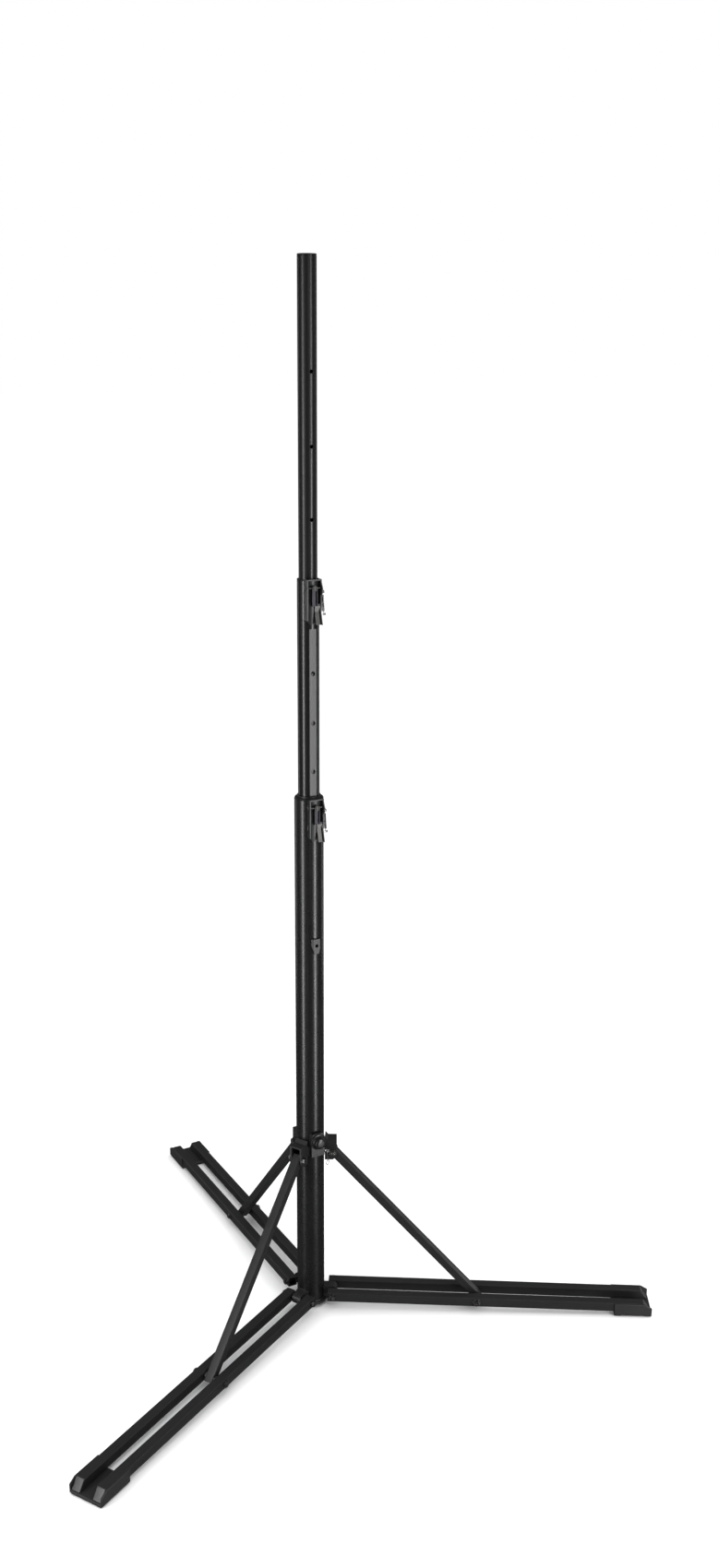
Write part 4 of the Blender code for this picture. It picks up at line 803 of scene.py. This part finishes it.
def make_latch(prefix, holder, lever):
    """A latch's spring, studs, pin, cheek plate and weld beads."""
    post, bolt = middle(prefix + "_spring_post"), middle(prefix + "_lever_bolt")
    spring = middle(prefix + "_latch_spring")
    outer = high(prefix + "_spring_post")[0] - STUD_RISE
    bracket_high = high(prefix + "_latch_bracket")
    plate = bracket_high[0]
    piece(prefix + "_post_detail", [stud(low(prefix + "_spring_post")[0], outer, 0.0027, post)], STEEL,
          holder, [prefix + "_spring_post"])
    piece(prefix + "_bolt_detail", [stud(low(prefix + "_lever_bolt")[0], outer, 0.0024, bolt)],
          STEEL, lever, [prefix + "_lever_bolt"])
    pin = middle(prefix + "_lever_pin")
    half = size(prefix + "_lever_pin")[0] / 2 - STUD_RISE
    piece(prefix + "_pin_detail", [
        stud(-half, half, 0.0027, pin),
        turned(rounded([(0.0027, -half - 0.0001), (0.0027, -half - 0.0006), (0.0016, -half - 0.0011),
                        (0.0003, -half - 0.0011)], 0.0004), (0.0, pin[1], pin[2]),
               (1.0, 0.0, 0.0), 32)], DARK_BOLT, holder, [prefix + "_lever_pin"])

    # the spring: a close coil r = 2 mm round the line between the studs, with a hook round each
    wire, coil_radius = 0.00042, 0.0020
    eye = STUD_SHANK + wire + 0.0001
    top, foot = np.array((spring[0], post[1], post[2])), np.array((spring[0], bolt[1], bolt[2]))
    along = unit(top - foot)
    x_way = np.array((1.0, 0.0, 0.0))
    side = np.cross(along, x_way)
    length = np.linalg.norm(top - foot)
    body_half = length / 2 - eye - 0.0034
    turns = int(2 * body_half / (2 * wire * 1.22))
    count = turns * 18 + 1
    t = np.linspace(0.0, 1.0, count)[:, None]
    angle = 2 * math.pi * turns * t
    centre = (top + foot) / 2
    coil = (centre + along * body_half * (2 * t - 1)
            + coil_radius * (np.cos(angle) * side + np.sin(angle) * x_way))
    shells = [swept(coil, wire, along, 8)]
    for end, way in ((top, 1.0), (foot, -1.0)):
        start = centre + along * body_half * way + side * coil_radius
        bottom = end - along * way * eye
        s = np.linspace(0.0, 1.0, 14)[:, None]
        ease = s * s * (3 - 2 * s)
        stem = start + (bottom - start) @ along * along * s + (bottom - start) @ side * side * ease
        hook = loop(end, eye, -along * way, side * way, 0.0, 300.0, 32)
        shells.append(swept(np.vstack([stem, hook[1:]]), wire, x_way, 8))
    piece(prefix + "_spring_detail", shells, STEEL, lever, [prefix + "_latch_spring"],
          bend=(holder, lever, tuple(top - along * 0.0045), tuple(foot + along * 0.0045)))

    # the cheek plate in front of the pin: an arch with a round dark eye
    pin_y = pin[1]
    face = pin_y - 0.0040
    outline_angle = np.radians(np.linspace(-90.0, 270.0, 73)[:-1])
    arch = 0.0050
    across_x = arch * np.cos(outline_angle)
    rise = np.where(np.sin(outline_angle) < 0, 1.25, 1.0) * arch * np.sin(outline_angle)
    squared = np.stack([np.clip(across_x * 1.06, -arch, arch), rise], 1)
    hole = 0.0019 * np.stack([np.cos(outline_angle), np.sin(outline_angle)], 1)
    rows = []
    for shape, depth in ((hole, 0.0), (hole * 1.12, -0.00015), (squared * 0.96, -0.00015),
                         (squared, 0.0001), (squared, 0.0010), (hole, 0.0010)):
        rows.append(np.stack([shape[:, 0] - 0.0004, np.full(72, face + depth), pin[2] + shape[:, 1]], 1))
    piece(prefix + "_cheek", [sheet(np.array(rows), wrap_rows=True)], DULL_ZINC, lever)
    stay = [turned([(0.0019, 0.0), (0.0019, max(pin_y - face - 0.0004, 0.0002))],
                   (-0.0004, face + 0.0004, pin[2]), (0.0, 1.0, 0.0), 28)]
    piece(prefix + "_cheek_rivet", stay, DARK_BOLT, lever)

    # short weld beads down both side plates' roots
    radius = {"lower": size("main_tube")[0] / 2, "upper": size("mid_tube")[0] / 2}[prefix]
    tube_top = bracket_high[2] - 0.0030
    depth = -math.sqrt(max((radius + 0.0020) ** 2 - plate ** 2, 0.0)) - 0.0003
    beads = []
    for way in (-1.0, 1.0):
        for start, end in ((0.0080, 0.0200), (0.0470, 0.0590)):
            line = straight((way * (plate + 0.0002), depth, tube_top - start),
                            (way * (plate + 0.0002), depth, tube_top - end), 36)
            beads.append(bead(line, 0.0011, (way, 0.0, 0.0), 0.0022))
    piece(prefix + "_latch_welds", beads, WELD, holder)


# ---------------------------------------------------------------- mast trim

def make_trim():
    """The cap, the catch plate's screw and the weld beads of the hub and the collar."""
    top, foot = high("top_cap")[2], low("top_cap")[2]
    wide = size("top_cap")[0] / 2
    rim = top - 0.0030
    stem = wide - 0.0021
    profile = rounded([
        (0.0004, foot), (stem - 0.0012, foot), (stem, foot + 0.0015), (stem, rim), (wide, rim),
        (wide, top - 0.0006), (wide - 0.0008, top), (0.0004, top)], 0.0006, 4)
    piece("cap_detail", [turned(profile, (0.0, 0.0, 0.0), UP, 96)], PLASTIC, "top_section",
          ["top_cap"])

    screw = middle("catch_screw")
    face, root = -low("catch_screw")[1], -high("catch_screw")[1]
    origin = (screw[0], 0.0, screw[2])

    head = turned(rounded([(0.0019, root), (0.0021, face - 0.0002), (0.0019, face), (0.0010, face)],
                          0.0002), origin, FRONT, 32)
    piece("catch_screw_detail", [head], DARK_BOLT, "mast", ["catch_screw"])

    tube = size("main_tube")[0] / 2
    plate_top = 0.0050
    ring = loop((0.0, 0.0, plate_top + 0.0006), tube + 0.0006, np.array((1.0, 0.0, 0.0)),
                np.array((0.0, 1.0, 0.0)), 0.0, 360.0, 721)[:-1]
    ripple = 0.0020 * (0.86 + 0.16 * np.abs(np.sin(np.linspace(0.0, 30 * math.pi, 720))))
    shells = [swept(ring, ripple, UP, 12, closed=True)]
    lug_half, lug_top = 0.0100, pivot("leg_c_hinge")[2] + 0.0110
    root_y = math.sqrt(tube ** 2 - lug_half ** 2)
    beads = [bead(straight((way * lug_half, root_y + 0.0009, plate_top),
                           (way * lug_half, root_y + 0.0009, lug_top)), 0.0017, (way, 0.0, 0.0))
             for way in (-1.0, 1.0)]
    beads.append(bead(straight((-lug_half, tube + 0.0003, lug_top), (lug_half, tube + 0.0003, lug_top)),
                      0.0014, (0.0, 1.0, 0.0)))
    for leg in LEGS:
        shells += spun(beads, azimuth(leg) - azimuth("c"))
    piece("hub_welds", shells, BEAD_PAINT, "mast")

    outer, ring_radius = 0.0138, 0.0324
    centre = low("collar")[2] + LUG_FALL
    root_y = math.sqrt(ring_radius ** 2 - outer ** 2)
    beads = [bead(straight((way * outer, root_y + 0.0006, centre - 0.0100),
                           (way * outer, root_y + 0.0006, centre + 0.0100)), 0.0013, (way, 0.0, 0.0))
             for way in (-1.0, 1.0)]
    shells = [shell for leg in LEGS for shell in spun(beads, azimuth(leg) - azimuth("c"))]
    piece("collar_welds", shells, BEAD_PAINT, "collar")


SOFT = [
    (["base_hub", "collar", "catch_plate"], PAINT, 0.0004),
    (["lower_latch_bracket", "upper_latch_bracket"], PAINT, 0.0002),
    (by_leg("rail_left", "rail_right", "brace"), PAINT, 0.0),
    (by_leg("foot_shoe"), SHOE, 0.0005),
    (by_leg("foot_pad"), RUBBER, 0.0005),
    (by_leg("hub_sleeve", "brace_sleeve"), DARK_BOLT, 0.0),
    (["main_bush", "mid_bush", "mid_guide", "top_guide"], PLASTIC, 0.0003),
    (["lower_latch_lever"], lever_zinc("lower"), 0.00015),
    (["upper_latch_lever"], lever_zinc("upper"), 0.00015),
]
for nodes, finish, edge_radius in SOFT:
    for node_name in nodes:
        softened(node_name, finish, edge_radius)
make_tubes()
make_bolts()
make_knob()
make_plunger()
make_latch("lower", "mast", "lower_lever")
make_latch("upper", "mid_section", "upper_lever")
make_trim()


# ---------------------------------------------------------------- camera, light and floor

def make_camera():
    """The camera, a little above the stand's top, looking down between the two front legs."""
    right = np.array((0.88138049, -0.47238209, 0.00485673))
    up = np.array((0.12334283, 0.24003556, 0.96289640))
    back = np.cross(right, up)
    data = bpy.data.cameras.new("camera")
    data.lens = 35.992
    data.sensor_width = 36.0
    data.clip_end = 200.0
    camera = bpy.data.objects.new("camera", data)
    matrix = np.eye(4)
    matrix[:3, 0], matrix[:3, 1], matrix[:3, 2] = right, up, back
    matrix[:3, 3] = (-1.28926, -2.60338, 1.93977)
    camera.matrix_world = Matrix(matrix.tolist())
    bpy.context.scene.collection.objects.link(camera)
    bpy.context.scene.camera = camera


def soft_box(name, angle, distance, height, width, tall, power, aim=1.0):
    """A soft box at an angle round the mast, in degrees, that faces the mast and isn't seen itself."""
    data = bpy.data.lights.new(name, "AREA")
    data.shape = "RECTANGLE"
    data.size, data.size_y = width, tall
    data.energy = power
    light = bpy.data.objects.new(name, data)
    turn = math.radians(angle)
    place = np.array((distance * math.cos(turn), distance * math.sin(turn), height))
    back = unit(place - np.array((0.0, 0.0, aim)))
    right = unit(np.cross(UP, back))
    matrix = np.eye(4)
    matrix[:3, 0], matrix[:3, 1], matrix[:3, 2], matrix[:3, 3] = right, np.cross(back, right), back, place
    light.matrix_world = Matrix(matrix.tolist())
    light.visible_camera = False
    bpy.context.scene.collection.objects.link(light)


def make_studio():
    """A pale floor under the feet, two tall soft boxes beside the camera, two weak ones behind, and sky."""
    level = CAD_LOW[2] - 0.0004
    reach = 60.0
    mesh = bpy.data.meshes.new("floor")
    mesh.from_pydata([(-reach, -reach, level), (reach, -reach, level), (reach, reach, level),
                      (-reach, reach, level)], [], [(0, 1, 2, 3)])
    mesh.materials.append(pale_floor())
    floor = bpy.data.objects.new("floor", mesh)
    bpy.context.scene.collection.objects.link(floor)
    floor.visible_glossy = False
    floor.visible_shadow = False
    facing = -116.3
    soft_box("key_left", facing - 52.0, 2.6, 0.65, 0.45, 3.1, 46.0, 0.65)
    soft_box("key_right", facing + 46.5, 2.6, 0.65, 0.42, 3.1, 54.0, 0.65)
    soft_box("rim_left", facing - 128.0, 3.0, 1.0, 0.6, 3.0, 7.0)
    soft_box("rim_right", facing + 128.0, 3.0, 1.0, 0.6, 3.0, 7.0)
    sky = bpy.data.lights.new("overhead", "SUN")
    sky.energy = 3.5
    sky.angle = math.radians(100.0)
    overhead = bpy.data.objects.new("overhead", sky)
    overhead.visible_glossy = False
    bpy.context.scene.collection.objects.link(overhead)
    world = bpy.data.worlds.new("studio")
    world.use_nodes = True
    background = world.node_tree.nodes["Background"]
    background.inputs["Color"].default_value = (1.0, 1.0, 1.0, 1.0)
    seen = world.node_tree.nodes.new("ShaderNodeLightPath")
    level = world.node_tree.nodes.new("ShaderNodeMapRange")
    level.inputs["To Min"].default_value = 0.06
    level.inputs["To Max"].default_value = 1.0
    world.node_tree.links.new(seen.outputs["Is Camera Ray"], level.inputs["Value"])
    world.node_tree.links.new(level.outputs[0], background.inputs["Strength"])
    bpy.context.scene.world = world
    bpy.context.scene.view_settings.view_transform = "Standard"


make_camera()
make_studio()
